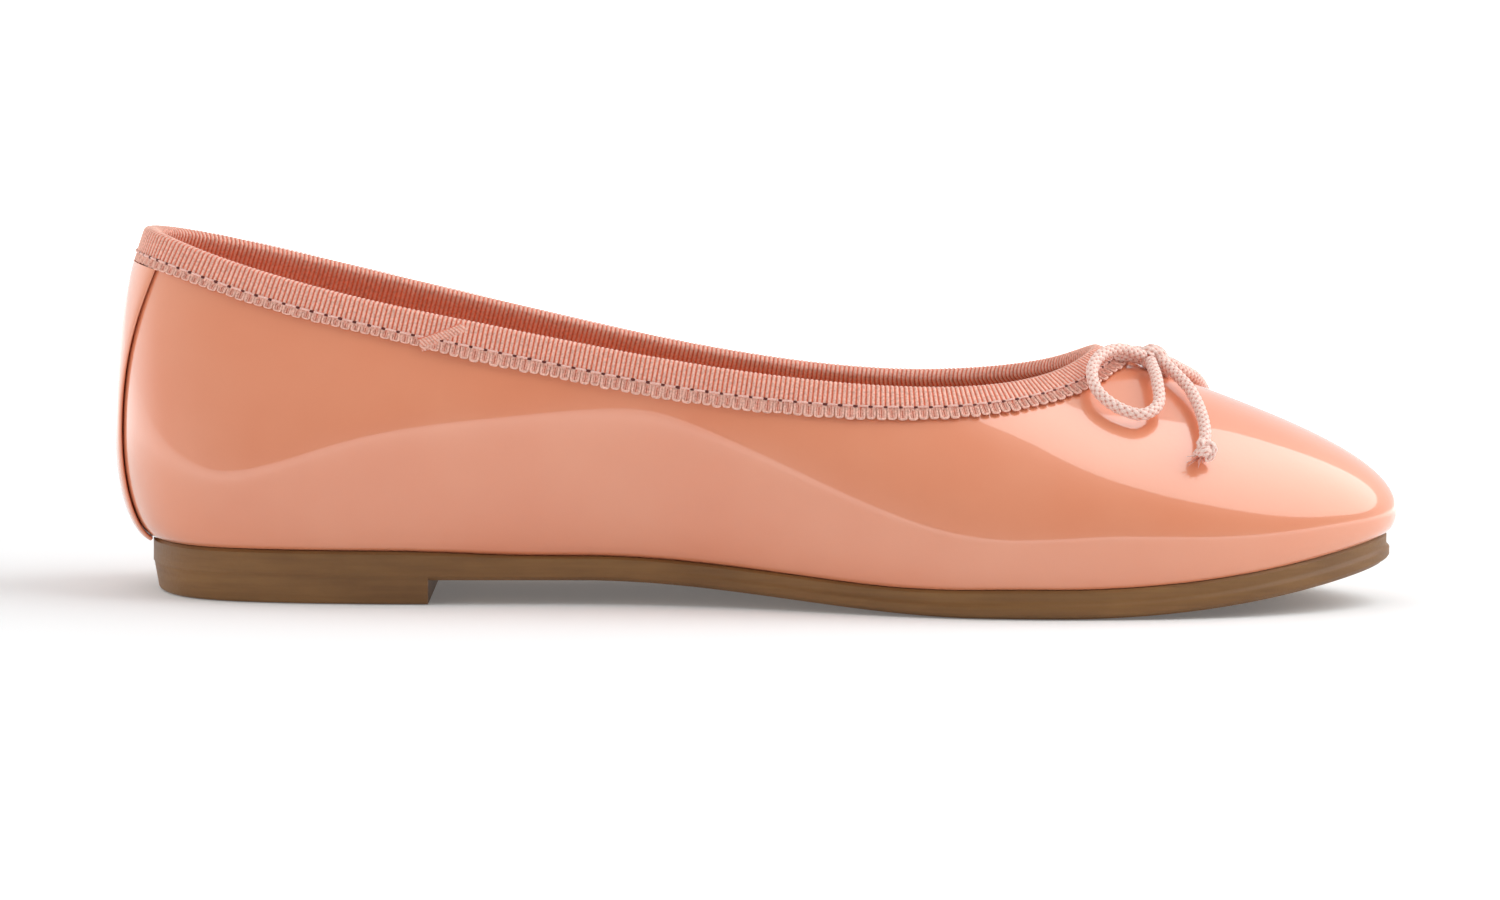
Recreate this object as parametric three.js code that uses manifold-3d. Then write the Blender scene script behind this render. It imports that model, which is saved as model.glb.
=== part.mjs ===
// A ballet flat for the left foot: a patent upper lasted onto a moulded rubber sole, with its topline bound
// in ribbon, a strip down the back seam and a drawstring tied in a bow at the throat.
// Millimetres, +Z up, toe towards +X, the inner side of the foot towards -Y, standing on its sole.

import * as THREE from 'three';
import Module from 'manifold-3d';
import { mergeVertices } from 'three/addons/utils/BufferGeometryUtils.js';

// Driving dimensions of the last
const LENGTH = 250; // heel back to toe tip
const BALL_WIDTH = 82; // the sole's edge across the ball
const BACK_HEIGHT = 70; // floor to the upper's edge at the heel

// Sole
const SOLE_THICKNESS = 5.3;
const WAIST_THINNER = 0.8; // the sole is thinner than that by this much under the waist
const WAIST = [55, 85, 145, 178]; // where the thinner stretch begins, is full, fades and ends
const HEEL_LIFT = 4.7; // the shank's underside above the floor
const BREAST_AT = 62.6; // the heel's front face
const SHANK_END = 92; // where the shank starts to come down
const TREAD_START = 167; // the forefoot stands on the floor from here
const TREAD_END = 183; // to here
const TOE_SPRING = 8.7;
const SPRING_POWER = 1.95;
const SOLE_EDGE = 0.8; // how far the sole stands out past the feather line
const LIP_OUT = 0.6; // the soft rib along the side of the forefoot
const LIP_START = 95;
const LIP_FULL = 165;
const HEEL_TAPER = 1.0;
const HEEL_EDGE = 0.9; // the bevel round the heel's underside

// Upper
const WALL = 1.6;
const LASTING_MARGIN = 9; // turned in under the insole
const ROLL_OUT = 0.6; // shape of the turn from the margin to the wall
const ROLL_RISE = 0.55;

// Pieces on and in the upper
const GAP = 0.3; // between pieces that meet
const INSOLE_THICKNESS = 2.6;
const INSOLE_INSET = 1.4;
const TAPE = 0.6; // ribbon thickness
const TAPE_OUTSIDE = 6.9; // the ribbon's depth outside, with its looped edge
const TAPE_INSIDE = 7.0;
const STAY_HALF = { top: 0.94, middle: 0.47, foot: 0.54 }; // the back strip's half width, in sections
const STAY_THICKNESS = 0.8;
const STAY_FOOT = 1.5; // how far the strip stops short of the feather line
const CORD = 2.4; // drawstring diameter
const CORD_SIDES = 8;
const KNOT = [6.0, 6.8, 4.8]; // the bow's knot, along, across and up
const END_KNOT = 4.6;

// Sections round the shoe, from the heel's back to the toe. Lengths along the shoe are shares of LENGTH,
// widths shares of BALL_WIDTH and topline heights shares of BACK_HEIGHT. swell is how far the wall stands
// out past the feather line and swellHeight where it does, in millimetres. lean is the wall's slope at the
// topline in degrees. rise and lie are the curve's handles at the swell and the topline, shares of its chord.
const SECTION_COLUMNS = [
  'along', 'inner', 'outer', 'swellInner', 'swellOuter', 'swellHeight',
  'topAlong', 'topInner', 'topOuter', 'topInnerHeight', 'topOuterHeight', 'lean', 'rise', 'lie',
];
const SECTION_ROWS = [
  [0.034, 0.000, 0.000, 7.3, 7.3, 31.0, 0.026, 0.000, 0.000, 0.994, 0.994, 70, 0.36, 0.30],
  [0.051, 0.194, 0.194, 6.2, 6.2, 29.0, 0.045, 0.146, 0.146, 0.976, 0.980, 71, 0.36, 0.31],
  [0.098, 0.304, 0.304, 4.6, 4.4, 23.0, 0.100, 0.228, 0.232, 0.912, 0.938, 73, 0.36, 0.33],
  [0.192, 0.337, 0.339, 3.8, 3.7, 30.5, 0.192, 0.296, 0.300, 0.829, 0.858, 76, 0.36, 0.33],
  [0.312, 0.315, 0.345, 4.3, 3.6, 35.5, 0.312, 0.327, 0.335, 0.746, 0.757, 77, 0.36, 0.33],
  [0.432, 0.302, 0.368, 5.4, 3.8, 35.0, 0.432, 0.349, 0.372, 0.671, 0.662, 74, 0.36, 0.33],
  [0.552, 0.388, 0.439, 4.2, 3.2, 24.0, 0.536, 0.366, 0.396, 0.624, 0.602, 66, 0.34, 0.34],
  [0.660, 0.478, 0.507, 2.6, 2.6, 14.6, 0.620, 0.349, 0.378, 0.604, 0.583, 54, 0.32, 0.36],
  [0.760, 0.476, 0.504, 2.2, 2.2, 15.0, 0.686, 0.290, 0.311, 0.609, 0.599, 42, 0.28, 0.38],
  [0.852, 0.416, 0.430, 2.0, 2.0, 15.0, 0.732, 0.195, 0.207, 0.638, 0.634, 32, 0.24, 0.42],
  [0.934, 0.282, 0.278, 2.2, 2.2, 16.4, 0.757, 0.098, 0.090, 0.676, 0.675, 24, 0.20, 0.45],
  [0.990, 0.032, -0.032, 2.7, 2.7, 17.8, 0.765, 0.010, -0.010, 0.692, 0.692, 19, 0.17, 0.48],
];
const TOE_ROW = SECTION_ROWS.length - 1;
const ROWS_ROUND = 2 * TOE_ROW;

// Routes of the bow's cord over the vamp. A place is given by sections round from the knot, away from it on
// either side, by millimetres down from the topline, and by millimetres above the leather.
const ROUTE_COLUMNS = ['sections', 'down', 'lift'];
const KNOT_AT = { sections: -0.22, down: 11, lift: 2.5 }; // sections from the toe's, towards the inner side
const INNER_LOOP_ROWS = [
  [0.20, 9.2, 2.7],
  [0.50, 5.4, 3.6],
  [0.92, 3.6, 3.6],
  [1.42, 4.8, 3.2],
  [1.72, 9.8, 2.9],
  [1.73, 15.4, 2.7],
  [1.58, 19.4, 2.6],
  [1.28, 19.6, 2.7],
  [0.86, 15.6, 3.0],
  [0.30, 11.0, 2.7],
];
const OUTER_LOOP_ROWS = [
  [0.20, 9.4, 2.4],
  [0.55, 8.2, 2.3],
  [1.00, 8.6, 2.1],
  [1.45, 11.0, 1.9],
  [1.72, 15.0, 1.8],
  [1.66, 19.0, 1.9],
  [1.36, 20.6, 2.0],
  [0.96, 18.0, 2.3],
  [0.60, 14.6, 2.5],
  [0.28, 11.6, 2.5],
];
const INNER_TAIL_ROWS = [
  [0.13, 13.0, 2.7],
  [0.36, 16.8, 2.5],
  [0.56, 20.6, 2.4],
  [0.84, 25.0, 2.2],
  [1.14, 29.2, 2.3],
  [1.46, 33.0, 2.7],
];
const OUTER_TAIL_ROWS = [
  [0.12, 13.2, 2.5],
  [0.34, 17.0, 1.9],
  [0.62, 21.0, 1.8],
  [0.94, 25.0, 1.8],
  [1.24, 29.0, 2.0],
  [1.52, 32.6, 2.7],
];
const BOW_SIDES = [
  { side: 'inner', way: -1, loopRows: INNER_LOOP_ROWS, tailRows: INNER_TAIL_ROWS },
  { side: 'outer', way: 1, loopRows: OUTER_LOOP_ROWS, tailRows: OUTER_TAIL_ROWS },
];
const TIP_FROM_KNOT = [0.28, 1.4, -0.5]; // where a tail's tip ends, from its end knot

// Colours and finishes
const PATENT = { color: '#df9079', roughness: 0.12, metalness: 0 };
const LINING = { color: '#e6b79f', roughness: 0.7, metalness: 0 };
const RIBBON = { color: '#e0937c', roughness: 0.65, metalness: 0 };
const CORD_FINISH = { color: '#f0c4b6', roughness: 0.5, metalness: 0 };
const GUM_RUBBER = { color: '#7f5a35', roughness: 0.55, metalness: 0 };

// Mesh resolution
const STEPS_PER_SECTION = 4;
const ROLLS = 4;
const WALLS = 8;
const FINE = 48; // steps of a rib when distances are measured along it

const wasm = await Module();
wasm.setup();

// Number helpers

const mix = (a, b, t) => a + (b - a) * t;

function smoothStep(low, high, x) {
  const t = THREE.MathUtils.clamp((x - low) / (high - low), 0, 1);
  return t * t * (3 - 2 * t);
}

// A closed cubic spline with continuous curvature through values at 0, 1, 2 and so on.
function closedSpline(values) {
  const n = values.length;
  const at = (i) => values[((i % n) + n) % n];
  const bend = values.map(() => 0);
  const sweeps = 40;
  for (let sweep = 0; sweep < sweeps; sweep++) {
    for (let i = 0; i < n; i++) {
      const second = 6 * (at(i + 1) - 2 * at(i) + at(i - 1));
      bend[i] = (second - bend[(i + n - 1) % n] - bend[(i + 1) % n]) / 4;
    }
  }
  return (u) => {
    const i = Math.floor(u);
    const t = u - i;
    const a = bend[((i % n) + n) % n];
    const b = bend[(((i + 1) % n) + n) % n];
    const s = 1 - t;
    return at(i) * s + at(i + 1) * t + (a * (s ** 3 - s) + b * (t ** 3 - t)) / 6;
  };
}

// The last

const SECTIONS = SECTION_ROWS.map((row) => Object.fromEntries(row.map((v, i) => [SECTION_COLUMNS[i], v])));

// The rows in order round the shoe: along the inner side to the toe, then back along the outer side.
const ROUND = Array.from({ length: ROWS_ROUND }, (_, i) => {
  const isInner = i <= TOE_ROW;
  const row = SECTIONS[isInner ? i : ROWS_ROUND - i];
  return {
    x: row.along * LENGTH,
    y: (isInner ? -row.inner : row.outer) * BALL_WIDTH,
    swell: isInner ? row.swellInner : row.swellOuter,
    swellHeight: row.swellHeight,
    topX: row.topAlong * LENGTH,
    topY: (isInner ? -row.topInner : row.topOuter) * BALL_WIDTH,
    topZ: (isInner ? row.topInnerHeight : row.topOuterHeight) * BACK_HEIGHT,
    lean: THREE.MathUtils.degToRad(row.lean),
    rise: row.rise,
    lie: row.lie,
  };
});
const last = Object.fromEntries(
  Object.keys(ROUND[0]).map((key) => [key, closedSpline(ROUND.map((row) => row[key]))]),
);

// The underside of the sole without its heel: a level shank, a flat tread and the toe spring.
function slabHeight(x) {
  const shank = HEEL_LIFT * (1 - smoothStep(SHANK_END, TREAD_START, x));
  const forward = Math.max(0, (x - TREAD_END) / (LENGTH - TREAD_END));
  return shank + TOE_SPRING * forward ** SPRING_POWER;
}

function soleThickness(x) {
  const [begins, full, fades, ends] = WAIST;
  return SOLE_THICKNESS - WAIST_THINNER * smoothStep(begins, full, x) * (1 - smoothStep(fades, ends, x));
}

const seatHeight = (x) => slabHeight(x) + soleThickness(x);

// Outward direction in plan of a closed curve that runs anticlockwise.
function outward(curveX, curveY, u) {
  const step = 0.01;
  const dx = curveX(u + step) - curveX(u - step);
  const dy = curveY(u + step) - curveY(u - step);
  return new THREE.Vector3(dy, -dx, 0).normalize();
}

const featherOutward = (u) => outward(last.x, last.y, u);

// A point of the feather line moved out in plan by a distance.
function featherAt(u, out) {
  const point = new THREE.Vector3(last.x(u), last.y(u), 0).addScaledVector(featherOutward(u), out);
  return point;
}

const cubic = (a, b, c, d) => new THREE.CubicBezierCurve3(a, b, c, d);
const up = new THREE.Vector3(0, 0, 1);

// One rib of the upper's outer face: the lasting margin, the roll above the feather line, and the wall.
function ribCurves(u) {
  const out = featherOutward(u);
  const feather = featherAt(u, 0);
  feather.z = seatHeight(feather.x) + GAP;
  const margin = featherAt(u, -LASTING_MARGIN);
  margin.z = seatHeight(margin.x) + GAP;
  const swell = featherAt(u, last.swell(u)).setZ(last.swellHeight(u));
  const top = new THREE.Vector3(last.topX(u), last.topY(u), last.topZ(u));
  const chord = swell.distanceTo(top);
  const topOut = outward(last.topX, last.topY, u);
  const lean = last.lean(u);
  const lie = topOut.multiplyScalar(Math.cos(lean)).addScaledVector(up, -Math.sin(lean));
  const rollOut = feather.clone().addScaledVector(out, ROLL_OUT * last.swell(u));
  const rollUp = swell.clone().addScaledVector(up, -ROLL_RISE * (swell.z - feather.z));
  const wallUp = swell.clone().addScaledVector(up, last.rise(u) * chord);
  const wallTop = top.clone().addScaledVector(lie, last.lie(u) * chord);
  return {
    seat: new THREE.LineCurve3(margin, feather),
    roll: cubic(feather, rollOut, rollUp, swell),
    wall: cubic(swell, wallUp, wallTop, top),
  };
}

// A rib as points from the topline down to the margin's edge, with their distances along it.
const ribCache = new Map();
function ribPoints(u) {
  const key = (((u % ROWS_ROUND) + ROWS_ROUND) % ROWS_ROUND).toFixed(6);
  if (ribCache.has(key)) return ribCache.get(key);
  const { seat, roll, wall } = ribCurves(u);
  const points = [
    ...wall.getPoints(FINE).reverse(),
    ...roll.getPoints(FINE).reverse().slice(1),
    seat.getPoint(0),
  ];
  const distances = [0];
  for (let i = 1; i < points.length; i++) distances.push(distances[i - 1] + points[i].distanceTo(points[i - 1]));
  const rib = { points, distances, feather: distances[2 * FINE] };
  ribCache.set(key, rib);
  return rib;
}

// A point of the upper's outer face, a distance down from the topline. Above the topline it runs on straight.
function facePoint(u, down) {
  const { points, distances } = ribPoints(u);
  let i = 1;
  while (i < points.length - 1 && distances[i] < down) i++;
  const t = (down - distances[i - 1]) / (distances[i] - distances[i - 1]);
  return points[i - 1].clone().lerp(points[i], t);
}

function faceNormal(u, down) {
  const du = 0.02;
  const ds = 0.15;
  const along = facePoint(u + du, down).sub(facePoint(u - du, down));
  const below = facePoint(u, down + ds).sub(facePoint(u, down - ds));
  return below.cross(along).normalize();
}

// A point off the upper's outer face: negative offsets lie inside the wall and beyond it.
function offFace(u, down, offset) {
  return facePoint(u, down).addScaledVector(faceNormal(u, down), offset);
}

// Mesh helpers

function geometryOf(points, triangles) {
  let volume = 0;
  for (const [a, b, c] of triangles) volume += points[a].dot(points[b].clone().cross(points[c]));
  const index = triangles.flatMap(([a, b, c]) => (volume > 0 ? [a, b, c] : [a, c, b]));
  const geometry = new THREE.BufferGeometry().setFromPoints(points);
  geometry.setIndex(index);
  geometry.computeVertexNormals();
  return geometry;
}

const quad = (a, b, c, d) => [[a, b, c], [a, c, d]];

// A closed band: each section is a loop of points, and the last section joins the first.
function bandGeometry(sections) {
  const n = sections[0].length;
  const triangles = sections.flatMap((_, i) => {
    const next = ((i + 1) % sections.length) * n;
    return Array.from({ length: n }, (_, k) => {
      const l = (k + 1) % n;
      return quad(i * n + k, next + k, next + l, i * n + l);
    }).flat();
  });
  return geometryOf(sections.flat(), triangles);
}

// A stack of rings round the shoe, closed at both ends by strips across it.
function stackGeometry(rings) {
  const n = rings[0].length;
  const triangles = [];
  for (let r = 0; r < rings.length - 1; r++) {
    for (let k = 0; k < n; k++) {
      const l = (k + 1) % n;
      triangles.push(...quad(r * n + k, r * n + l, (r + 1) * n + l, (r + 1) * n + k));
    }
  }
  const lid = (start, isTop) => {
    for (let k = 0; k < n / 2; k++) {
      const strip = quad(k, k + 1, n - k - 1, (n - k) % n).filter((t) => new Set(t).size === 3);
      for (const [a, b, c] of strip) {
        triangles.push(isTop ? [start + a, start + b, start + c] : [start + a, start + c, start + b]);
      }
    }
  };
  lid(0, false);
  lid((rings.length - 1) * n, true);
  return geometryOf(rings.flat(), triangles);
}

// A sheet with thickness: pointAt(i, j, side) gives its two faces, side 0 and 1.
function sheetGeometry(columns, rows, pointAt) {
  const points = [];
  for (let side = 0; side < 2; side++) {
    for (let j = 0; j <= rows; j++) {
      for (let i = 0; i <= columns; i++) points.push(pointAt(i, j, side));
    }
  }
  const at = (i, j, side) => side * (rows + 1) * (columns + 1) + j * (columns + 1) + i;
  const triangles = [];
  for (let j = 0; j < rows; j++) {
    for (let i = 0; i < columns; i++) {
      triangles.push(...quad(at(i, j, 0), at(i, j + 1, 0), at(i + 1, j + 1, 0), at(i + 1, j, 0)));
      triangles.push(...quad(at(i, j, 1), at(i + 1, j, 1), at(i + 1, j + 1, 1), at(i, j + 1, 1)));
    }
    triangles.push(...quad(at(0, j, 0), at(0, j, 1), at(0, j + 1, 1), at(0, j + 1, 0)));
    triangles.push(...quad(at(columns, j, 0), at(columns, j + 1, 0), at(columns, j + 1, 1), at(columns, j, 1)));
  }
  for (let i = 0; i < columns; i++) {
    triangles.push(...quad(at(i, 0, 0), at(i + 1, 0, 0), at(i + 1, 0, 1), at(i, 0, 1)));
    triangles.push(...quad(at(i, rows, 0), at(i, rows, 1), at(i + 1, rows, 1), at(i + 1, rows, 0)));
  }
  return geometryOf(points, triangles);
}

function solidOf(geometry) {
  const bare = geometry.clone();
  bare.deleteAttribute('normal');
  bare.deleteAttribute('uv');
  const merged = mergeVertices(bare, 1e-3);
  return new wasm.Manifold(new wasm.Mesh({
    numProp: 3,
    vertProperties: merged.getAttribute('position').array,
    triVerts: new Uint32Array(merged.index.array),
  }));
}

function geometryOfSolid(solid) {
  const mesh = solid.getMesh();
  const geometry = new THREE.BufferGeometry();
  geometry.setAttribute('position', new THREE.BufferAttribute(new Float32Array(mesh.vertProperties), 3));
  geometry.setIndex(new THREE.BufferAttribute(new Uint32Array(mesh.triVerts), 1));
  geometry.computeVertexNormals();
  return geometry;
}

const stations = Array.from({ length: ROWS_ROUND * STEPS_PER_SECTION }, (_, i) => i / STEPS_PER_SECTION);

// Subcomponents

function upper() {
  const sections = stations.map((u) => {
    const { distances, feather } = ribPoints(u);
    const downs = [];
    for (let i = 0; i < WALLS; i++) downs.push(distances[(i * FINE) / WALLS]);
    for (let i = 0; i < ROLLS; i++) downs.push(distances[FINE + (i * FINE) / ROLLS]);
    downs.push(feather, distances[distances.length - 1]);
    const outer = downs.map((down) => facePoint(u, down));
    const inner = downs.map((down) => offFace(u, down, -WALL)).reverse();
    return [...outer, ...inner];
  });
  return bandGeometry(sections);
}

// A ring of the sole's side: moved out from the feather line, at a height worked out from its place along.
function soleRing(out, heightAt) {
  return stations.map((u) => {
    const point = featherAt(u, out(last.x(u)));
    return point.setZ(heightAt(point.x));
  });
}

function outsole() {
  const lip = (x) => LIP_OUT * smoothStep(LIP_START, LIP_FULL, x);
  const plain = () => SOLE_EDGE;
  const lipped = (x) => SOLE_EDGE + lip(x);
  const level = (share) => (x) => slabHeight(x) + share * soleThickness(x);
  const slab = stackGeometry([
    soleRing(() => SOLE_EDGE - 1.4, level(0)),
    soleRing((x) => lipped(x) - 0.5, level(0.1)),
    soleRing(lipped, level(0.28)),
    soleRing(lipped, level(0.44)),
    soleRing(plain, level(0.62)),
    soleRing(plain, level(0.92)),
    soleRing(() => SOLE_EDGE - 0.4, level(1)),
  ]);
  const flat = (height) => () => height;
  const heel = stackGeometry([
    soleRing(() => SOLE_EDGE - HEEL_TAPER - HEEL_EDGE, flat(0)),
    soleRing(() => SOLE_EDGE - HEEL_TAPER - 0.3, flat(0.3 * HEEL_EDGE)),
    soleRing(() => SOLE_EDGE - HEEL_TAPER, flat(HEEL_EDGE)),
    soleRing(() => SOLE_EDGE + 0.02, flat(HEEL_LIFT + 0.6 * SOLE_THICKNESS)),
  ]);
  const ahead = new THREE.BoxGeometry(LENGTH, 2 * BALL_WIDTH, BACK_HEIGHT);
  ahead.translate(BREAST_AT + LENGTH / 2, 0, 0);
  const heelBlock = solidOf(heel).subtract(solidOf(ahead));
  return geometryOfSolid(solidOf(slab).add(heelBlock));
}

function insole() {
  const under = (x) => seatHeight(x) + GAP + WALL + GAP;
  const over = (x) => under(x) + INSOLE_THICKNESS;
  const edge = 0.6;
  return stackGeometry([
    soleRing(() => -INSOLE_INSET, under),
    soleRing(() => -INSOLE_INSET, (x) => over(x) - edge),
    soleRing(() => -INSOLE_INSET - edge, over),
  ]);
}

// Ribbon folded over the upper's edge: a U section carried round the topline.
function topBinding() {
  const outside = GAP + TAPE;
  const inside = -WALL - GAP - TAPE;
  const crown = GAP + TAPE;
  const section = [
    [TAPE_OUTSIDE, GAP],
    [TAPE_OUTSIDE, outside],
    [0, outside],
    [-crown, GAP - 0.2],
    [-crown, -WALL - GAP + 0.2],
    [0, inside],
    [TAPE_INSIDE, inside],
    [TAPE_INSIDE, inside + TAPE],
    [-GAP, inside + TAPE],
    [-GAP, GAP],
  ];
  return bandGeometry(stations.map((u) => section.map(([down, offset]) => offFace(u, down, offset))));
}

// A strip over the back seam, from below the ribbon down to the roll above the sole.
function backStay() {
  const across = 6;
  const down = 14;
  const crowding = 1.6; // its steps close up towards the foot, where it curls under
  const halves = [STAY_HALF.top, STAY_HALF.middle, STAY_HALF.foot];
  const stayHalf = new THREE.SplineCurve(halves.map((half, i) => new THREE.Vector2(half, i)));
  return sheetGeometry(across, down, (i, j, side) => {
    const share = 1 - (1 - j / down) ** crowding;
    const half = stayHalf.getPoint(share).x;
    const u = mix(-half, half, i / across);
    const { feather } = ribPoints(u);
    const isEdge = i === 0 || i === across;
    const offset = GAP + side * STAY_THICKNESS * (isEdge ? 0.5 : 1);
    return offFace(u, mix(TAPE_OUTSIDE + GAP, feather - STAY_FOOT, share), offset);
  });
}

// Bow

const overVamp = ({ sections, down, lift }) => offFace(TOE_ROW + sections, down, lift);

// A place on a route, as a point. The way is -1 towards the inner side and 1 towards the outer.
function routePoint(row, way) {
  const place = Object.fromEntries(row.map((v, i) => [ROUTE_COLUMNS[i], v]));
  return overVamp({ ...place, sections: KNOT_AT.sections + way * place.sections });
}

const routeOf = (rows, way) => new THREE.CatmullRomCurve3(rows.map((row) => routePoint(row, way)));

function cordAlong(curve, steps) {
  const section = new THREE.Shape();
  section.absarc(0, 0, CORD / 2, 0, 2 * Math.PI);
  const geometry = new THREE.ExtrudeGeometry(section, {
    steps, extrudePath: curve, bevelEnabled: false, curveSegments: CORD_SIDES / 2,
  });
  return solidOf(geometry);
}

function ball(size, centre, grow) {
  const geometry = new THREE.SphereGeometry(0.5, 12, 8);
  geometry.scale(size[0] + 2 * grow, size[1] + 2 * grow, size[2] + 2 * grow);
  geometry.translate(centre.x, centre.y, centre.z);
  return solidOf(geometry);
}

function bowPieces() {
  const knotCentre = overVamp(KNOT_AT);
  const knot = (grow) => ball(KNOT, knotCentre, grow);
  const pieces = { bow_knot: knot(0) };
  for (const { side, way, loopRows, tailRows } of BOW_SIDES) {
    const endRow = tailRows[tailRows.length - 1];
    const endCentre = routePoint(endRow, way);
    const endKnot = (grow) => ball([END_KNOT, END_KNOT, END_KNOT], endCentre, grow);
    const tipEnd = routePoint(endRow.map((v, i) => v + TIP_FROM_KNOT[i]), way);
    const tip = cordAlong(new THREE.LineCurve3(endCentre, tipEnd), 1);
    pieces[`bow_loop_${side}`] = cordAlong(routeOf(loopRows, way), 30).subtract(knot(GAP));
    pieces[`bow_tail_${side}`] = cordAlong(routeOf(tailRows, way), 12).subtract(knot(GAP)).subtract(endKnot(GAP));
    pieces[`tail_knot_${side}`] = endKnot(0).add(tip);
  }
  return pieces;
}

// Assembly

function piece(name, geometry, finish) {
  const mesh = new THREE.Mesh(geometry, new THREE.MeshStandardMaterial(finish));
  mesh.name = name;
  return mesh;
}

const shoe = new THREE.Group();
shoe.add(piece('outsole', outsole(), GUM_RUBBER));
shoe.add(piece('upper', upper(), PATENT));
shoe.add(piece('insole', insole(), LINING));
shoe.add(piece('top_binding', topBinding(), RIBBON));
shoe.add(piece('back_stay', backStay(), PATENT));
for (const [name, solid] of Object.entries(bowPieces())) {
  shoe.add(piece(name, geometryOfSolid(solid), CORD_FINISH));
}

// The origin is on the floor, at the middle of the shoe's box.
const middle = new THREE.Box3().setFromObject(shoe).getCenter(new THREE.Vector3());
shoe.position.set(-middle.x, -middle.y, 0);

const part = new THREE.Group();
part.add(shoe);

export default part;
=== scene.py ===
"""Looks of a left ballet flat: patent upper, ribbon binding, braided bow and gum rubber sole.

Sizes are in millimetres on the last, with the heel's back at x = 0, the toe towards +x and the
inner side of the foot towards -y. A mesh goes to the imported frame, in metres, when its object is made.
"""

import logging
import math
from dataclasses import dataclass, field
from enum import Enum
from typing import NamedTuple

import bpy
import numpy as np
from mathutils import Matrix, Vector


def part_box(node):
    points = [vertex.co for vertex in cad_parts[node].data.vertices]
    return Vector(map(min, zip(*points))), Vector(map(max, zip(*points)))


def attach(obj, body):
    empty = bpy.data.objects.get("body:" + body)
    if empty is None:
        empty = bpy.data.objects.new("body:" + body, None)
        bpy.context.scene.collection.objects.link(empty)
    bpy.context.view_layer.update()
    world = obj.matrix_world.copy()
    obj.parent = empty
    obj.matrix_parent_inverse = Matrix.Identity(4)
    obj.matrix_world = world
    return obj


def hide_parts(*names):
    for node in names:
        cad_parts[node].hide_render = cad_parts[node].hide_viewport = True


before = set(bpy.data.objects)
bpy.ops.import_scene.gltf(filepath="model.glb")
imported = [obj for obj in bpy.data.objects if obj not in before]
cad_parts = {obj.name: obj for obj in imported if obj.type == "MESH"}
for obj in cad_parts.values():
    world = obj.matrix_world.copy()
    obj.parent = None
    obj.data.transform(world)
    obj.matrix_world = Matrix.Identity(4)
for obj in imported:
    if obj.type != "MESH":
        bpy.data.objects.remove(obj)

LOG = logging.getLogger("ballet_flat")
MM = 0.001
BODY = "root"
Array = np.ndarray
Colour = tuple[float, float, float, float]


class Side(Enum):
    """The two sides of the foot, as the way round the last from the toe."""

    INNER = -1
    OUTER = 1


# Numbers and vectors


def paint(code: str) -> Colour:
    """Turns a six-digit colour code into linear red, green, blue and alpha.

    Args:
        code: The colour as it looks on a screen, such as "df9079".

    Returns:
        The four channels, each from 0 to 1.
    """
    shares = [int(code[i:i + 2], 16) / 255 for i in (0, 2, 4)]
    linear = [s / 12.92 if s <= 0.04045 else ((s + 0.055) / 1.055) ** 2.4 for s in shares]
    return (linear[0], linear[1], linear[2], 1.0)


def smooth_step(low: float, high: float, x: Array | float) -> Array | float:
    """Rises smoothly from 0 at low to 1 at high."""
    t = np.clip((x - low) / (high - low), 0.0, 1.0)
    return t * t * (3 - 2 * t)


def unit(vectors: Array) -> Array:
    """Scales vectors along the last axis to length 1."""
    return vectors / np.maximum(np.linalg.norm(vectors, axis=-1, keepdims=True), 1e-12)


def bezier(a: Array, b: Array, c: Array, d: Array, steps: int) -> Array:
    """Points of cubic curves.

    Args:
        a: First ends, one row for each curve.
        b: First handles.
        c: Second handles.
        d: Second ends.
        steps: Steps along each curve.

    Returns:
        An array of curves by steps + 1 by 3.
    """
    t = np.linspace(0, 1, steps + 1)[None, :, None]
    s = 1 - t
    return (s ** 3 * a[:, None] + 3 * s * s * t * b[:, None]
            + 3 * s * t * t * c[:, None] + t ** 3 * d[:, None])


def lengths_along(points: Array) -> Array:
    """Distances along a line of points, from 0 at its first point."""
    steps = np.linalg.norm(np.diff(points, axis=0), axis=1)
    return np.concatenate([[0.0], np.cumsum(steps)])


def resampled(points: Array, step: float) -> Array:
    """Spaces points evenly along a line.

    Args:
        points: The line.
        step: The spacing that is aimed at.

    Returns:
        The evenly spaced line, with the same ends.
    """
    along = lengths_along(points)
    places = np.linspace(0, along[-1], max(2, round(along[-1] / step)) + 1)
    return np.stack([np.interp(places, along, points[:, k]) for k in range(3)], axis=1)


def smooth_route(points: Array, steps: int = 24) -> Array:
    """Draws a smooth line through points, with its bends shared out by the spacing of the points.

    Args:
        points: The places that the line goes through.
        steps: Steps between two places.

    Returns:
        The points of the line.
    """
    ends = np.vstack([2 * points[0] - points[1], points, 2 * points[-1] - points[-2]])
    pieces = []
    for i in range(1, len(ends) - 2):
        p = ends[i - 1:i + 3]
        knots = np.concatenate([[0], np.cumsum(np.sqrt(np.linalg.norm(np.diff(p, axis=0), axis=1)))])
        t = np.linspace(knots[1], knots[2], steps, endpoint=False)[:, None]
        level = list(p)
        for depth in (1, 2, 3):
            level = [
                (knots[j + depth] - t) / (knots[j + depth] - knots[j]) * level[j]
                + (t - knots[j]) / (knots[j + depth] - knots[j]) * level[j + 1]
                for j in range(len(level) - 1)
            ] if depth < 3 else [
                (knots[2] - t) / (knots[2] - knots[1]) * level[0]
                + (t - knots[1]) / (knots[2] - knots[1]) * level[1]
            ]
        pieces.append(level[0])
    return np.vstack([*pieces, points[-1:]])


# The last


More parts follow.
